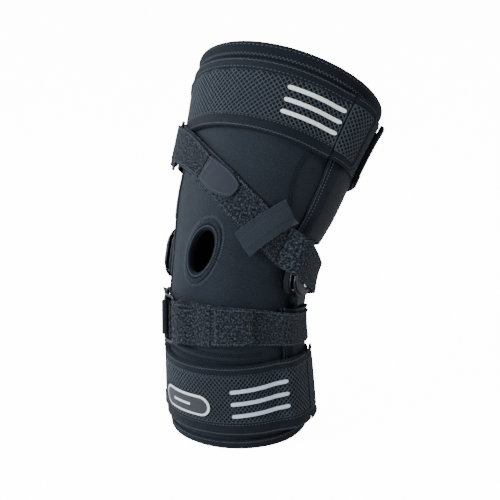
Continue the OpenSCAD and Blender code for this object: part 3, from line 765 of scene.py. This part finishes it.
# %% Cuff tools
# first and last angle, lower and upper place of each cuff, then the angle of its tab's end
# and of its landing's end
CUFFS = {"thigh": ((16, 340, 94, 154), 364, 372), "calf": ((42, 368, -138, -73), 391, 400)}
TRIM_LOW, TRIM_HIGH, TRIM_START = 12, 9, 5


def raised(base, h):
    return lambda phi, s: base(phi, s) + h


cuff_out = raised(over_in, CUFF_T)
mark_in = raised(over_in, CUFF_T + SEAT + MESH_T + PLY)


def net(p0, p1, s0, s1, wide=3.7, tall=4.6, strand=0.46):
    """Flat diamond net that fills a panel."""
    bm = bmesh.new()
    length, height = (p1 - p0) * DEG, s1 - s0
    side = round(length / wide + height / tall) + 6
    bmesh.ops.create_grid(bm, x_segments=side, y_segments=side, size=side / 2)
    bmesh.ops.rotate(bm, verts=bm.verts, matrix=Matrix.Rotation(math.pi / 4, 3, "Z"))
    r = math.sqrt(0.5)
    bmesh.ops.scale(bm, verts=bm.verts, vec=(wide * r, tall * r, 1))
    middle = Vector((round((p0 + p1) / 2 * DEG / wide) * wide,
                     round((s0 + s1) / 2 / tall) * tall, 0))
    bmesh.ops.translate(bm, verts=bm.verts, vec=middle)
    for co, no in (((p0 * DEG, 0, 0), (-1, 0, 0)), ((p1 * DEG, 0, 0), (1, 0, 0)),
                   ((0, s0, 0), (0, -1, 0)), ((0, s1, 0), (0, 1, 0))):
        bmesh.ops.bisect_plane(bm, geom=bm.verts[:] + bm.edges[:] + bm.faces[:], dist=1e-4,
                               plane_co=co, plane_no=no, clear_outer=True)
    cells = bm.faces[:]
    bmesh.ops.inset_individual(bm, faces=cells, thickness=strand, depth=0)
    bmesh.ops.delete(bm, geom=[f for f in cells if f.is_valid], context="FACES")
    return thicken(bm, MESH_T - 0.1)


def cuff(side, p0, p1, s0, s1):
    """Cuff body, two trims, an end trim and the net between them."""
    low, high, start = s0 + TRIM_LOW, s1 - TRIM_HIGH, p0 + TRIM_START
    bm = panel(p0, p1, s0, s1, round((p1 - p0) / 2), 20)
    thicken(bm, CUFF_T, 0.7)
    rides(wrap(bm, f"{side}_cuff_body", TRIM, over_in), side, "cuff_fabric", f"{side}_cuff")
    for name, a, b in (("low", s0 + 0.3, low), ("high", high, s1 - 0.3)):
        bm = panel(p0 + 0.3, p1 - 0.2, a, b, round((p1 - p0) / 2), 5)
        for v in bm.verts:
            v.co.z = 0.5 * math.sin(math.pi * ((v.co.y - a) / (b - a)))
        thicken(bm, 1.1, 0.45)
        rides(wrap(bm, f"{side}_trim_{name}", TRIM, raised(cuff_out, 0.05)), side,
              "cuff_fabric")
    bm = thicken(panel(p0 + 0.3, start, low + 0.3, high - 0.3, 4, 12), 1.2, 0.4)
    rides(wrap(bm, f"{side}_trim_start", TRIM, raised(cuff_out, 0.05)), side, "cuff_fabric")
    bm = net(start + 0.3, p1 - 0.5, low + 0.2, high - 0.2)
    rides(wrap(bm, f"{side}_net", NET, raised(cuff_out, 0.1)), side, "spacer_mesh",
          f"{side}_cuff_mesh")
    rows = [([(p0 + 1, s), (p1 - 1, s)], round((p1 - p0) / 1.3), 0.4, reach)
            for s, reach in ((low - 1.3, 0), (high + 1.3, 0), (s0 + 2, 0.5), (s1 - 2, 0.5))]
    sew(f"{side}_cuff_stitch", rows, raised(cuff_out, 1.35), body=side, thickness=0.35,
        slot="cuff_fabric")


for side, (band, tab_end, landing_end) in CUFFS.items():
    cuff(side, *band)

# %% [markdown]
# Each cuff carries three printed bars. The calf cuff also has a plain pill-shaped patch.

# %% Bars and patch
BAR_W = 3.4
PATCH = 229, 280, -121, -101


def rounded(bm, x0, x1, r, least, n, m):
    """Adds a bar from x0 to x1 and gives its corners, each with its x and half width."""
    for v in grid(bm, n, m):
        x = x0 + (x1 - x0) * (0.5 - 0.5 * math.cos(math.pi * (v.co.x + 0.5)))
        near = max(0.0, r - min(x - x0, x1 - x))
        yield v, x, max(least, math.sqrt(max(0.0, r * r - near * near)))


def bars(name, p0, p1, heights, rise, material, slot, body, node):
    """Raised printed bars with round ends and a slightly ragged edge."""
    bm = bmesh.new()
    length = (p1 - p0) * DEG
    for s in heights:
        for v, x, half in rounded(bm, 0, length, BAR_W / 2, 0.3, 48, 6):
            ragged = 0.16 * noise.noise(Vector((x * 1.7, s, v.co.y * 3)))
            y = s + BAR_W / 2 + rise * x / length + 2 * half * v.co.y + ragged
            v.co = (p0 * DEG + x, y, 0)
    thicken(bm, 0.6)
    return rides(wrap(bm, name, material, mark_in), body, slot, node)


bars("thigh_bars", 299, 338, [113.5, 124, 134.5], 0.5, WHITE_PRINT, "reflective_print",
     "thigh", "thigh_cuff_stripes")
bars("calf_bars", 297, 344, [-120.5, -109, -97.5], 4, SILVER_PRINT, "silver_print",
     "calf", "calf_cuff_stripes")


def pill(inset):
    """Flat patch with round ends."""
    p0, p1, s0, s1 = PATCH
    r = (s1 - inset - (s0 + inset)) / 2
    bm = bmesh.new()
    for v, x, half in rounded(bm, p0 * DEG + inset, p1 * DEG - inset, r, 0.25, 56, 10):
        v.co = (x, (s0 + s1) / 2 + half * 2 * v.co.y, 0)
    return bm


bm = thicken(pill(0), 0.7, 0.25)
patch = rides(wrap(bm, "patch_edge", BADGE_EDGE, mark_in), "calf", "badge_patch",
              "calf_badge")
bm = thicken(pill(2.4), 0.25)
rides(wrap(bm, "patch_field", BADGE_FIELD, raised(mark_in, 0.66)), "calf", "badge_patch")
bm = thicken(panel(243, 262, -112.2, -109.8, 16, 2), 0.2)
rides(wrap(bm, "patch_bar", BADGE_EDGE, raised(mark_in, 0.86)), "calf", "badge_patch")
print("bars and patch on", patch.name)

# %% [markdown]
# A cuff closes with a tab that lies over a landing strip and peels away from it. The tab
# starts at the cuff's end.

# %% Cuff ends


def point(phi, s, lift=0.0):
    """Point on the form in millimetres."""
    return Vector(skin(phi, s, lift).tolist())


def at(phi, s):
    return point(phi, s) * MM


def peels(obj, parent, flap, root, end, slot, *nodes):
    """Bakes the piece's transform into its mesh and hides the CAD nodes it replaces."""
    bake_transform(obj)
    return filed(obj, nodes)


def tab_curves(p0, p1, s0, s1, r):
    """Edge curves of a tab with a rounded far end."""
    return [[(p0, s), ((p0 + p1) / 2, s), (p1 - r * 0.6, s + r * way * 0.12), (p1, s + r * way)]
            for s, way in ((s0, 1), (s1, -1))]


def cuff_end(side, root, end, s0, s1, far):
    """Landing strip, hook tape and tab with its net and stitches."""
    bm = thicken(panel(root + 3, far, s0 + 2, s1 - 2, 20, 20), LANDING_T, 0.3)
    rides(wrap(bm, f"{side}_landing", PILE, over_in), side, "loop_webbing",
          f"{side}_cuff_landing")
    hook_in = raised(over_in, LANDING_T + SEAT)
    bm = thicken(panel(root + 3, end - 4, s0 + 10, s1 - 10, 12, 16), HOOK_T, 0.2)
    rides(wrap(bm, f"{side}_hooks", HOOK, hook_in), f"{side}_cuff_flap", "hook_tape",
          f"{side}_cuff_hook")
    tab_in = raised(hook_in, HOOK_T + PLY)
    mid = (s0 + s1) / 2
    zone = (at(root + 0.3, mid), at(root + 3, mid))
    bm = pattern(*tab_curves(root + 0.3, end, s0, s1, 7), 30, 40)
    for v in bm.verts:
        x, y = v.co.x / DEG, v.co.y
        inside = min(1.0, (y - s0 - 3) / 7, (s1 - y - 3) / 7, (end - 3.5 - x) / 3.5)
        v.co.z = 1.1 * (1 - float(ease(inside * 2.2)))
    thicken(bm, 1.1, 0.45)
    tab = wrap(bm, f"{side}_tab", TRIM, tab_in)
    peels(tab, side, f"{side}_cuff_flap", *zone, "cuff_fabric", f"{side}_cuff_tab")
    bm = net(root + 0.6, end - 5.5, s0 + 8.5, s1 - 7.5)
    peels(wrap(bm, f"{side}_tab_net", NET, raised(tab_in, 1.15)), side,
          f"{side}_cuff_flap", *zone, "spacer_mesh")
    low, high = tab_curves(root + 2, end - 2.2, s0 + 2.5, s1 - 2.5, 7)
    rows = [(low, 40, 0.4, 0), (high, 40, 0.4, 0), ([low[-1], high[-1]], 60, 0.4, 0)]
    peels(stitches(f"{side}_tab_stitch", rows, raised(tab_in, 2.25)), side,
          f"{side}_cuff_flap", *zone, "cuff_fabric")


for side, ((p0, root, s0, s1), tab_end, landing_end) in CUFFS.items():
    cuff_end(side, root, tab_end, s0, s1, landing_end)
print("cuff tabs sewn")

# %% [markdown]
# ## Straps
#
# The straps are loop webbing: a woven core under a brushed pile. The pile is modelled, as
# fine noise on a one-millimetre grid, because it shows against the light along the edges.

# %% Strap tools
PILE_SIZE = 1.1


def pile(bm, amount, top):
    """Roughens a finished flat strap above the height top."""
    for v in bm.verts:
        if v.co.z < top:
            continue
        q = Vector((v.co.x / PILE_SIZE, v.co.y / PILE_SIZE, v.co.z))
        v.co.z += amount * (noise.noise(q) + 0.6 * noise.noise(q * 2.3))


def strap(name, lower, upper, n, m, lift, thick=STRAP_T, rough=0.3, material=PILE,
          half=None):
    """Webbing between two edge curves, or the half of it above or below the knee."""
    bm = thicken(pattern(lower, upper, n, m), thick, 0.5)
    pile(bm, rough, thick * 0.6)
    if half is not None:
        cut_at_knee(bm, half)
    return wrap(bm, name, material, lift)


def edge_rows(lower, upper, inset, count, width=0.5, reach=0.0):
    """Stitch rows a little inside both edges of a strap."""
    rows = []
    n = 24
    for a, b in ((lower, upper), (upper, lower)):
        row = []
        for i in range(n + 1):
            p, q = along(a, i / n), along(b, i / n)
            span = math.hypot((q[0] - p[0]) * DEG, q[1] - p[1])
            row.append(p + (q - p) * inset / span)
        rows.append((row, count, width, reach))
    return rows


def ring_frame(phi, s, lift, dphi, ds):
    """Frame of a ring: x along its bar, z off the leg."""
    o = point(phi, s, lift)
    out = (point(phi + 1, s, lift) - o).cross(point(phi, s + 1, lift) - o).normalized()
    u = (point(phi + dphi * 0.01, s + ds * 0.01, lift) - o).normalized()
    v = out.cross(u)
    m = Matrix((u, v, out)).transposed().to_4x4()
    m.translation = o
    return Matrix.Scale(MM, 4) @ m


def rolled(name, frame_at, radius, thick, length, start, stop, y=0.0, x=0.0, material=PILE,
           rough=0.25):
    """Webbing rolled round a ring bar, from one angle to another."""
    bm = bmesh.new()
    n, m = max(8, round(length / 1.2)), max(10, round((stop - start) / 12))
    for v in grid(bm, n, m):
        v.co = (v.co.x * length, v.co.y, 0)
    thicken(bm, thick, 0.4)
    pile(bm, rough, thick * 0.6)
    flat_uv(bm, radius)
    for v in bm.verts:
        a = math.radians(start + (stop - start) * (v.co.y + 0.5))
        r = radius + v.co.z
        v.co = (x + v.co.x, y + r * math.cos(a), r * math.sin(a))
    bmesh.ops.transform(bm, matrix=frame_at, verts=bm.verts)
    return finish_mesh(bm, name, material)


print("webbing is", STRAP_T, "mm thick, its pile", PILE_SIZE, "mm wide")

# %% [markdown]
# The diagonal strap crosses above the kneecap. It starts at a ring on the inner side, where
# its end folds back over itself, and its tail passes over the hinge on the outer side.

# %% Diagonal strap
RING_R, FOLD_IN, RING_ACROSS, RING_RISE = 1.5, 1.8, 12.0, 4.0
ANCHOR_T = 1.6
DIAGONAL_TOP = [(-149.6, 107), (-124, 90), (-101, 72), (-76.5, 54), (-48, 40), (-22, 30.5)]
DIAGONAL_LOW = [(-143.6, 66), (-124, 55.5), (-103, 43.5), (-77, 29.5), (-52, 16), (-27, 3.5)]
RETURN_LOW = [(-143.7, 68), (-124, 57), (-106.5, 48)]
RETURN_TOP = [(-149.3, 104), (-122, 87), (-100.5, 67)]
TAB_LOW = [(-106, 48.2), (-92, 40.5), (-77, 38.5), (-72.4, 44)]
TAB_TOP = [(-100, 66.5), (-87, 58.5), (-77, 52), (-72, 47.5)]
TAIL_LOW = [(-26.4, 3.1), (-10, -6), (7, -15), (32, -26), (58, -34)]
TAIL_TOP = [(-21.4, 30.1), (-8, 23), (9, 14), (34, 3), (62, -6)]
KEEPER_LOW = [(-65, 17.5), (-57, 11), (-49, 5)]
KEEPER_TOP = [(-38, 47.5), (-30, 41), (-22, 35)]


def diagonal_in(phi, s):
    return SEAT + 0.1 + RING_RISE * ease((-104 - phi) / 22) + over_hinge(phi)


diagonal_out = raised(diagonal_in, STRAP_T)


def return_in(phi, s):
    return diagonal_out(phi, s) + SEAT + (2 * FOLD_IN - SEAT) * ease((-118 - phi) / 24)


bends(strap("diagonal_web", DIAGONAL_LOW, DIAGONAL_TOP, 150, 38, diagonal_in), True,
      "loop_webbing", "diagonal_strap")
sew("diagonal_stitch", edge_rows(DIAGONAL_LOW, DIAGONAL_TOP, 1.5, 150), diagonal_out,
    upper=True, slot="loop_webbing")
bends(strap("diagonal_folded", RETURN_LOW, RETURN_TOP, 50, 38, return_in), True,
      "loop_webbing", "diagonal_return")
sew("folded_stitch", edge_rows(RETURN_LOW, RETURN_TOP, 1.5, 44), raised(return_in, STRAP_T),
    upper=True, slot="loop_webbing")
diagonal_ring_at = ring_frame(-148, 88, SEAT + 0.1 + RING_RISE + STRAP_T + RING_R + SEAT,
                              -6, 40)
rides(rolled("diagonal_roll", diagonal_ring_at, FOLD_IN, STRAP_T, 36, -90, 90), "thigh",
      "loop_webbing", "diagonal_fold")

tab_zone = (at(-105.5, 57), at(-102.5, 55.5))
bm = pattern(TAB_LOW, TAB_TOP, 40, 22)
thicken(bm, TAB_T, 0.6)
hook_tab = wrap(bm, "diagonal_tab", TAB, raised(diagonal_out, SEAT))
peels(hook_tab, "thigh", "diagonal_flap", *tab_zone, "smooth_tab", "diagonal_hook_tab")
rows = edge_rows(TAB_LOW, TAB_TOP, 1.6, 50, 0.4)
rows.append(([(-102.5, 49.5), (-97.5, 62)], 40, 0.4, 0.7))
peels(stitches("diagonal_tab_stitch", rows, raised(diagonal_out, SEAT + TAB_T - 0.05)),
      "thigh", "diagonal_flap", *tab_zone, "smooth_tab")
print("diagonal strap laid")

# %% [markdown]
# The keeper is ribbed elastic. Its ribs run across the strap, one every millimetre, and a
# lighter copy of the elastic on their crests is a painted highlight.

# %% Keeper and anchor
RIBS, RIB_H, KEEPER_T = 21, 0.6, 1.3
bm = thicken(pattern(KEEPER_LOW, KEEPER_TOP, 84, 24), KEEPER_T)
low0, low1 = np.array(KEEPER_LOW[0]), np.array(KEEPER_LOW[-1])
run = Vector(((low1[0] - low0[0]) * DEG, low1[1] - low0[1]))
cross = Vector(((KEEPER_TOP[0][0] - low0[0]) * DEG, KEEPER_TOP[0][1] - low0[1]))
det = run.x * cross.y - run.y * cross.x


def rib_place(co):
    """Ribs passed on the way from the keeper's lower end to co."""
    d = Vector((co.x - low0[0] * DEG, co.y - low0[1]))
    return RIBS * (d.x * cross.y - d.y * cross.x) / det


# Faces on the crests of the ribs take the lighter copy of the elastic as a painted highlight.
for f in bm.faces:
    f.material_index = 1 if 0.25 < rib_place(f.calc_center_median()) % 1 < 0.75 else 0
for v in bm.verts:
    if v.co.z > KEEPER_T / 2:
        v.co.z += RIB_H * abs(math.sin(math.pi * rib_place(v.co)))
bends(wrap(bm, "keeper", [ELASTIC, ELASTIC_RIB_HIGHLIGHT], raised(diagonal_out, SEAT)), True,
      "ribbed_elastic", "diagonal_keeper")


def anchor_in(phi, s):
    phi = np.where(phi > 0, phi - 360, phi)
    return over_in(phi, s) + 0.1 + 1.1 * ease((phi + 172) / 14)


rides(strap("diagonal_anchor_strip", [(-182, 73), (-157.5, 70.5)], [(-182, 90), (-159, 86)],
            26, 16, anchor_in, ANCHOR_T, 0.05, TRICOT), "thigh", "pocket_fabric",
      "diagonal_anchor")
rides(rolled("diagonal_anchor_loop", diagonal_ring_at, FOLD_IN, ANCHOR_T, 15, -170, 170,
             y=RING_ACROSS, x=-10, material=TRICOT, rough=0.05), "thigh", "pocket_fabric")
print("keeper with", RIBS, "ribs, and the ring's anchor")

# %% Diagonal tail over the hinge
for upper, side in HALVES:
    bends(strap(f"diagonal_tail_{side}", TAIL_LOW, TAIL_TOP, 110, 34, diagonal_in, half=upper),
          upper, "loop_webbing", *(["diagonal_tail"] if upper else []))
print("tail in two halves over the right hinge")

# %% [markdown]
# The lower strap goes right round under the kneecap and comes back through its own ring.

# %% Lower strap
LOWER_LOW = [(250, -55), (285, -54), (320, -56), (360, -64), (395, -68), (450, -70),
             (500, -70), (540, -68), (556, -66)]
LOWER_TOP = [(250, -28), (285, -28.5), (320, -30), (360, -35), (395, -38), (450, -38),
             (500, -38), (540, -38), (556, -37)]
LOWER_RISE = 2.5


def lower_in(phi, s):
    return over_in(phi, s) + 0.1 + LOWER_RISE * ease((268 - phi) / 14)


def lower_return_in(phi, s):
    return (over_in(phi, s) + 0.1 + STRAP_T + SEAT
            + (LOWER_RISE + 2 * FOLD_IN - SEAT) * ease((272 - phi) / 16))


bends(strap("lower_web", LOWER_LOW, LOWER_TOP, 330, 30, lower_in), False, "loop_webbing",
      "lower_strap")
sew("lower_stitch", edge_rows(LOWER_LOW, LOWER_TOP, 1.4, 300), raised(lower_in, STRAP_T),
    upper=False, slot="loop_webbing")
bends(strap("lower_folded", [(250.7, -54.5), (284.4, -54.5)], [(250.7, -28.5), (284.4, -28.5)],
            36, 26, lower_return_in), False, "loop_webbing", "lower_return")
lower_ring_at = ring_frame(249.5, -41.5, 0.7 + LOWER_RISE + STRAP_T + RING_R, 0, 30)
rides(rolled("lower_roll", lower_ring_at, FOLD_IN, STRAP_T, 33, -90, 90), "calf",
      "loop_webbing", "lower_fold")
rides(rolled("lower_anchor_loop", lower_ring_at, FOLD_IN, ANCHOR_T, 30, -170, 170,
             y=RING_ACROSS, material=TRICOT, rough=0.05), "calf", "pocket_fabric")


def lower_anchor_in(phi, s):
    return over_in(phi, s) + 3 * ease((phi - 205) / 28)


bends(strap("lower_anchor_strip", [(199, -57), (233, -56)], [(199, -28), (233, -27)], 34, 28,
            lower_anchor_in, ANCHOR_T, 0.05, TRICOT), False, "pocket_fabric", "lower_anchor")
low, high = tab_curves(284.6, 318, -54, -29, 4)
lower_zone = (at(284.8, -41.5), at(288, -41.5))
bm = pattern(low, high, 44, 26)
thicken(bm, TAB_T, 0.6)
pile(bm, 0.22, TAB_T * 0.6)
peels(wrap(bm, "lower_tab", PILE, lower_return_in), "calf", "lower_flap", *lower_zone,
      "loop_webbing", "lower_strap_tab")
rows = edge_rows(low, high, 1.5, 40, 0.4) + [([(288, -52), (288, -31)], 50, 0.4, 0.7),
                                             ([(315, -47), (315, -36)], 24, 0.4, 0)]
peels(stitches("lower_tab_stitch", rows, raised(lower_return_in, TAB_T - 0.05)), "calf",
      "lower_flap", *lower_zone, "loop_webbing")
print("lower strap laid")

# %% [markdown]
# ## Pockets
#
# A tricot pocket covers each arm. It climbs over the arm in the middle and lies flat on the
# sleeve at its two stitched edges.

# %% Pockets
POCKET_HALF = 21.0


def pocket(name, right, s0, s1, upper, node):
    """Cover over an arm from s0 to s1, with two stitch rows along each edge."""
    places = [s0 + (s1 - s0) * i / 12 for i in range(13)]
    arm = [float(arm_phi(np.array(s))) for s in places]
    middle = arm if right else [180 - p for p in arm]
    front, back = ([(p + way * POCKET_HALF, s) for p, s in zip(middle, places)]
                   for way in (-1, 1))
    bm = pattern(front, back, round(abs(s1 - s0) / 2.5), 40)
    thicken(bm, POCKET_T, 0.4)
    bends(wrap(bm, name, TRICOT, pocket_in), upper, "pocket_fabric", node)
    sew(name + "_stitch", edge_rows(front, back, 1.6, round(abs(s1 - s0) / 1.4), 0.4, 0.6)
        + edge_rows(front, back, 4.2, round(abs(s1 - s0) / 1.4), 0.4, 0),
        raised(pocket_in, POCKET_T), upper=upper, slot="pocket_fabric")


for right, side in ((True, "right"), (False, "left")):
    pocket(f"{side}_thigh_cover", right, 29, 152, True, f"{side}_thigh_pocket")
    pocket(f"{side}_calf_cover", right, -131, -31, False, f"{side}_calf_pocket")
print("four pockets")

# %% [markdown]
# ## Hinges
#
# The arms, plates, washers and pins are the CAD parts themselves. The moulded cover and the
# bright rivet heads are remade with softer edges, since they catch the light.

# %% Hinge covers and rivets
COVER_X, COVER_R, COVER_HALF, COVER_SHIFT = 67.7, 13.5, PIVOT - 3, 0.5
LINK_TURN = Matrix.Rotation(-math.radians(KNEE_LEAN), 4, "X")
COVER_RINGS = [(0, 0), (0, 0.9), (0.25, 1.5), (0.9, 2.1), (2, 2.6), (3.6, 3.0), (5.2, 3.15),
               (5.8, 2.9), (6.4, 2.85), (8.5, 3.05), (11.5, 3.2)]
# (radius, distance from the middle of the leg)
RIVET_PROFILE = [(0, 70.5), (0.9, 70.55), (1.2, 71.0), (1.8, 71.35), (2.8, 71.3),
                 (3.5, 70.95), (3.95, 70.3), (4.0, 69.0), (2.5, 68.6), (2.5, 61.8), (0, 61.8)]


def stadium(r, half, n):
    """n points round a stadium, as (y, z), starting on its flank."""
    pts = []
    for i in range(n):
        a = 2 * math.pi * i / n
        y, z = r * math.cos(a), r * math.sin(a)
        pts.append((y + COVER_SHIFT, z + (half if z >= 0 else -half)))
    return pts


def hinge_part(bm, name, sign, material, slot, node):
    """Finishes a part made for the right hinge, mirrored where sign is -1."""
    bmesh.ops.scale(bm, verts=bm.verts, vec=(sign, 1, 1))
    bmesh.ops.transform(bm, matrix=Matrix.Scale(MM, 4) @ LINK_TURN, verts=bm.verts)
    rides(finish_mesh(bm, name, material, PART_CREASE), "links", slot, node)


def hinge_cover(side, sign):
    bm = bmesh.new()
    n, m = 96, len(COVER_RINGS) - 1
    outlines = [stadium(COVER_R - inset, COVER_HALF, n) for inset, h in COVER_RINGS]
    for v in grid(bm, n, m):
        i, j = round((v.co.x + 0.5) * n) % n, round((v.co.y + 0.5) * m)
        v.co = (COVER_X + COVER_RINGS[j][1], *outlines[j][i])
    bmesh.ops.remove_doubles(bm, verts=bm.verts, dist=1e-3)
    bmesh.ops.holes_fill(bm, edges=[e for e in bm.edges if e.is_boundary], sides=0)
    hinge_part(bm, f"{side}_cover", sign, MOULDED, "moulded_black", f"{side}_hinge_cover")


def rivet_heads(side, sign):
    """Domed heads with a small dimple, spun about each pivot."""
    bm = bmesh.new()
    for k in (-1, 1):
        ring = [bm.verts.new((x, r, k * PIVOT)) for r, x in RIVET_PROFILE]
        edges = [bm.edges.new(pair) for pair in zip(ring, ring[1:])]
        bmesh.ops.spin(bm, geom=ring + edges, cent=(0, 0, k * PIVOT), axis=(1, 0, 0),
                       angle=2 * math.pi, steps=40, use_duplicate=False)
    bmesh.ops.remove_doubles(bm, verts=bm.verts, dist=1e-3)
    hinge_part(bm, f"{side}_rivet_heads", sign, RIVET, "rivet_steel", f"{side}_rivets")


for side, sign in (("right", 1), ("left", -1)):
    hinge_cover(side, sign)
    rivet_heads(side, sign)
print("covers and rivet heads on both hinges")

# %% [markdown]
# The CAD parts that still show take their finish here.

# %% Finishes of the CAD parts
# the first key that a node's name holds gives its finish
CAD_FINISH = {
    "arm_tips": MOULDED, "thigh_arm": ALUMINIUM, "calf_arm": ALUMINIUM, "_plate": PLATE,
    "washers": WASHER, "stop_pins": PLATE, "_ring": RING, "hinge_pad": FOAM}
shown = {name: node for name, node in frame["nodes"].items() if not node.hide_render}
for name, node in shown.items():
    finish = next((m for key, m in CAD_FINISH.items() if key in name), None)
    if finish is None:
        print("no finish for", name)
        continue
    node.data.materials.clear()
    node.data.materials.append(finish)
print(len(shown), "CAD parts show, finished from", len(CAD_FINISH), "kinds")

# %% [markdown]
# ## Light, camera and floor

# %% Studio
lowest = min(c.z for o in bpy.data.objects if o.type == "MESH" and not o.hide_render
             for c in [o.matrix_world @ Vector(b) for b in o.bound_box])
world = bpy.data.worlds.new("studio")
bpy.context.scene.world = world
world.use_nodes = True
tree = world.node_tree
soft = tree.nodes["Background"]
soft.inputs["Color"].default_value = (0.93, 0.96, 1, 1)
soft.inputs["Strength"].default_value = 0.26
seen = add(tree, "Background", {"Color": (1, 1, 1, 1), "Strength": 20})
rays, pick = add(tree, "LightPath"), add(tree, "MixShader")
join(tree, (rays, "Is Camera Ray", pick, "Fac"), (soft, 0, pick, 1), (seen, 0, pick, 2),
     (pick, 0, tree.nodes["World Output"], "Surface"))

bpy.ops.mesh.primitive_plane_add(size=60, location=(0, 0, lowest - 0.0005))
floor = bpy.context.object
floor.name = "floor"
white, s = shader("floor_white", (0.93, 0.93, 0.94), 0.9, Emission_Color=(1, 1, 1, 1))
tree = white.node_tree
rays, glow = add(tree, "LightPath"), add(tree, "Math", {1: 14}, operation="MULTIPLY")
join(tree, (rays, "Is Camera Ray", glow, 0), (glow, 0, s, "Emission Strength"))
floor.data.materials.append(white)


def area_light(name, place, aim, power, size, color=(1, 1, 1)):
    data = bpy.data.lights.new(name, "AREA")
    data.energy, data.size, data.color = power, size, color
    light = bpy.data.objects.new(name, data)
    light.location = place
    light.rotation_euler = (Vector(aim) - Vector(place)).to_track_quat("-Z", "Y").to_euler()
    bpy.context.scene.collection.objects.link(light)


COOL = (0.86, 0.94, 1)
area_light("key", (-0.7, -1.6, 0.95), (0, 0, 0), 54, 0.5, COOL)
area_light("side", (-1.7, -0.1, 0.6), (0, 0, 0), 14, 0.8, COOL)
area_light("rim", (1.7, 0.5, 0.9), (0, 0, 0.05), 12, 0.7, COOL)

AZ, EL, DISTANCE = math.radians(32.05), math.radians(14.36), 1.2066
camera_data = bpy.data.cameras.new("camera")
camera_data.lens, camera_data.sensor_width = 98.2, 36
camera_data.shift_x, camera_data.shift_y = 0.0244, 0.0238
camera = bpy.data.objects.new("camera", camera_data)
camera.location = DISTANCE * Vector((math.sin(AZ) * math.cos(EL),
                                     -math.cos(AZ) * math.cos(EL), math.sin(EL)))
camera.rotation_euler = (-camera.location).to_track_quat("-Z", "Y").to_euler()
bpy.context.scene.collection.objects.link(camera)
bpy.context.scene.camera = camera
print("camera at", [round(c, 3) for c in camera.location], "lowest point", round(lowest, 4))
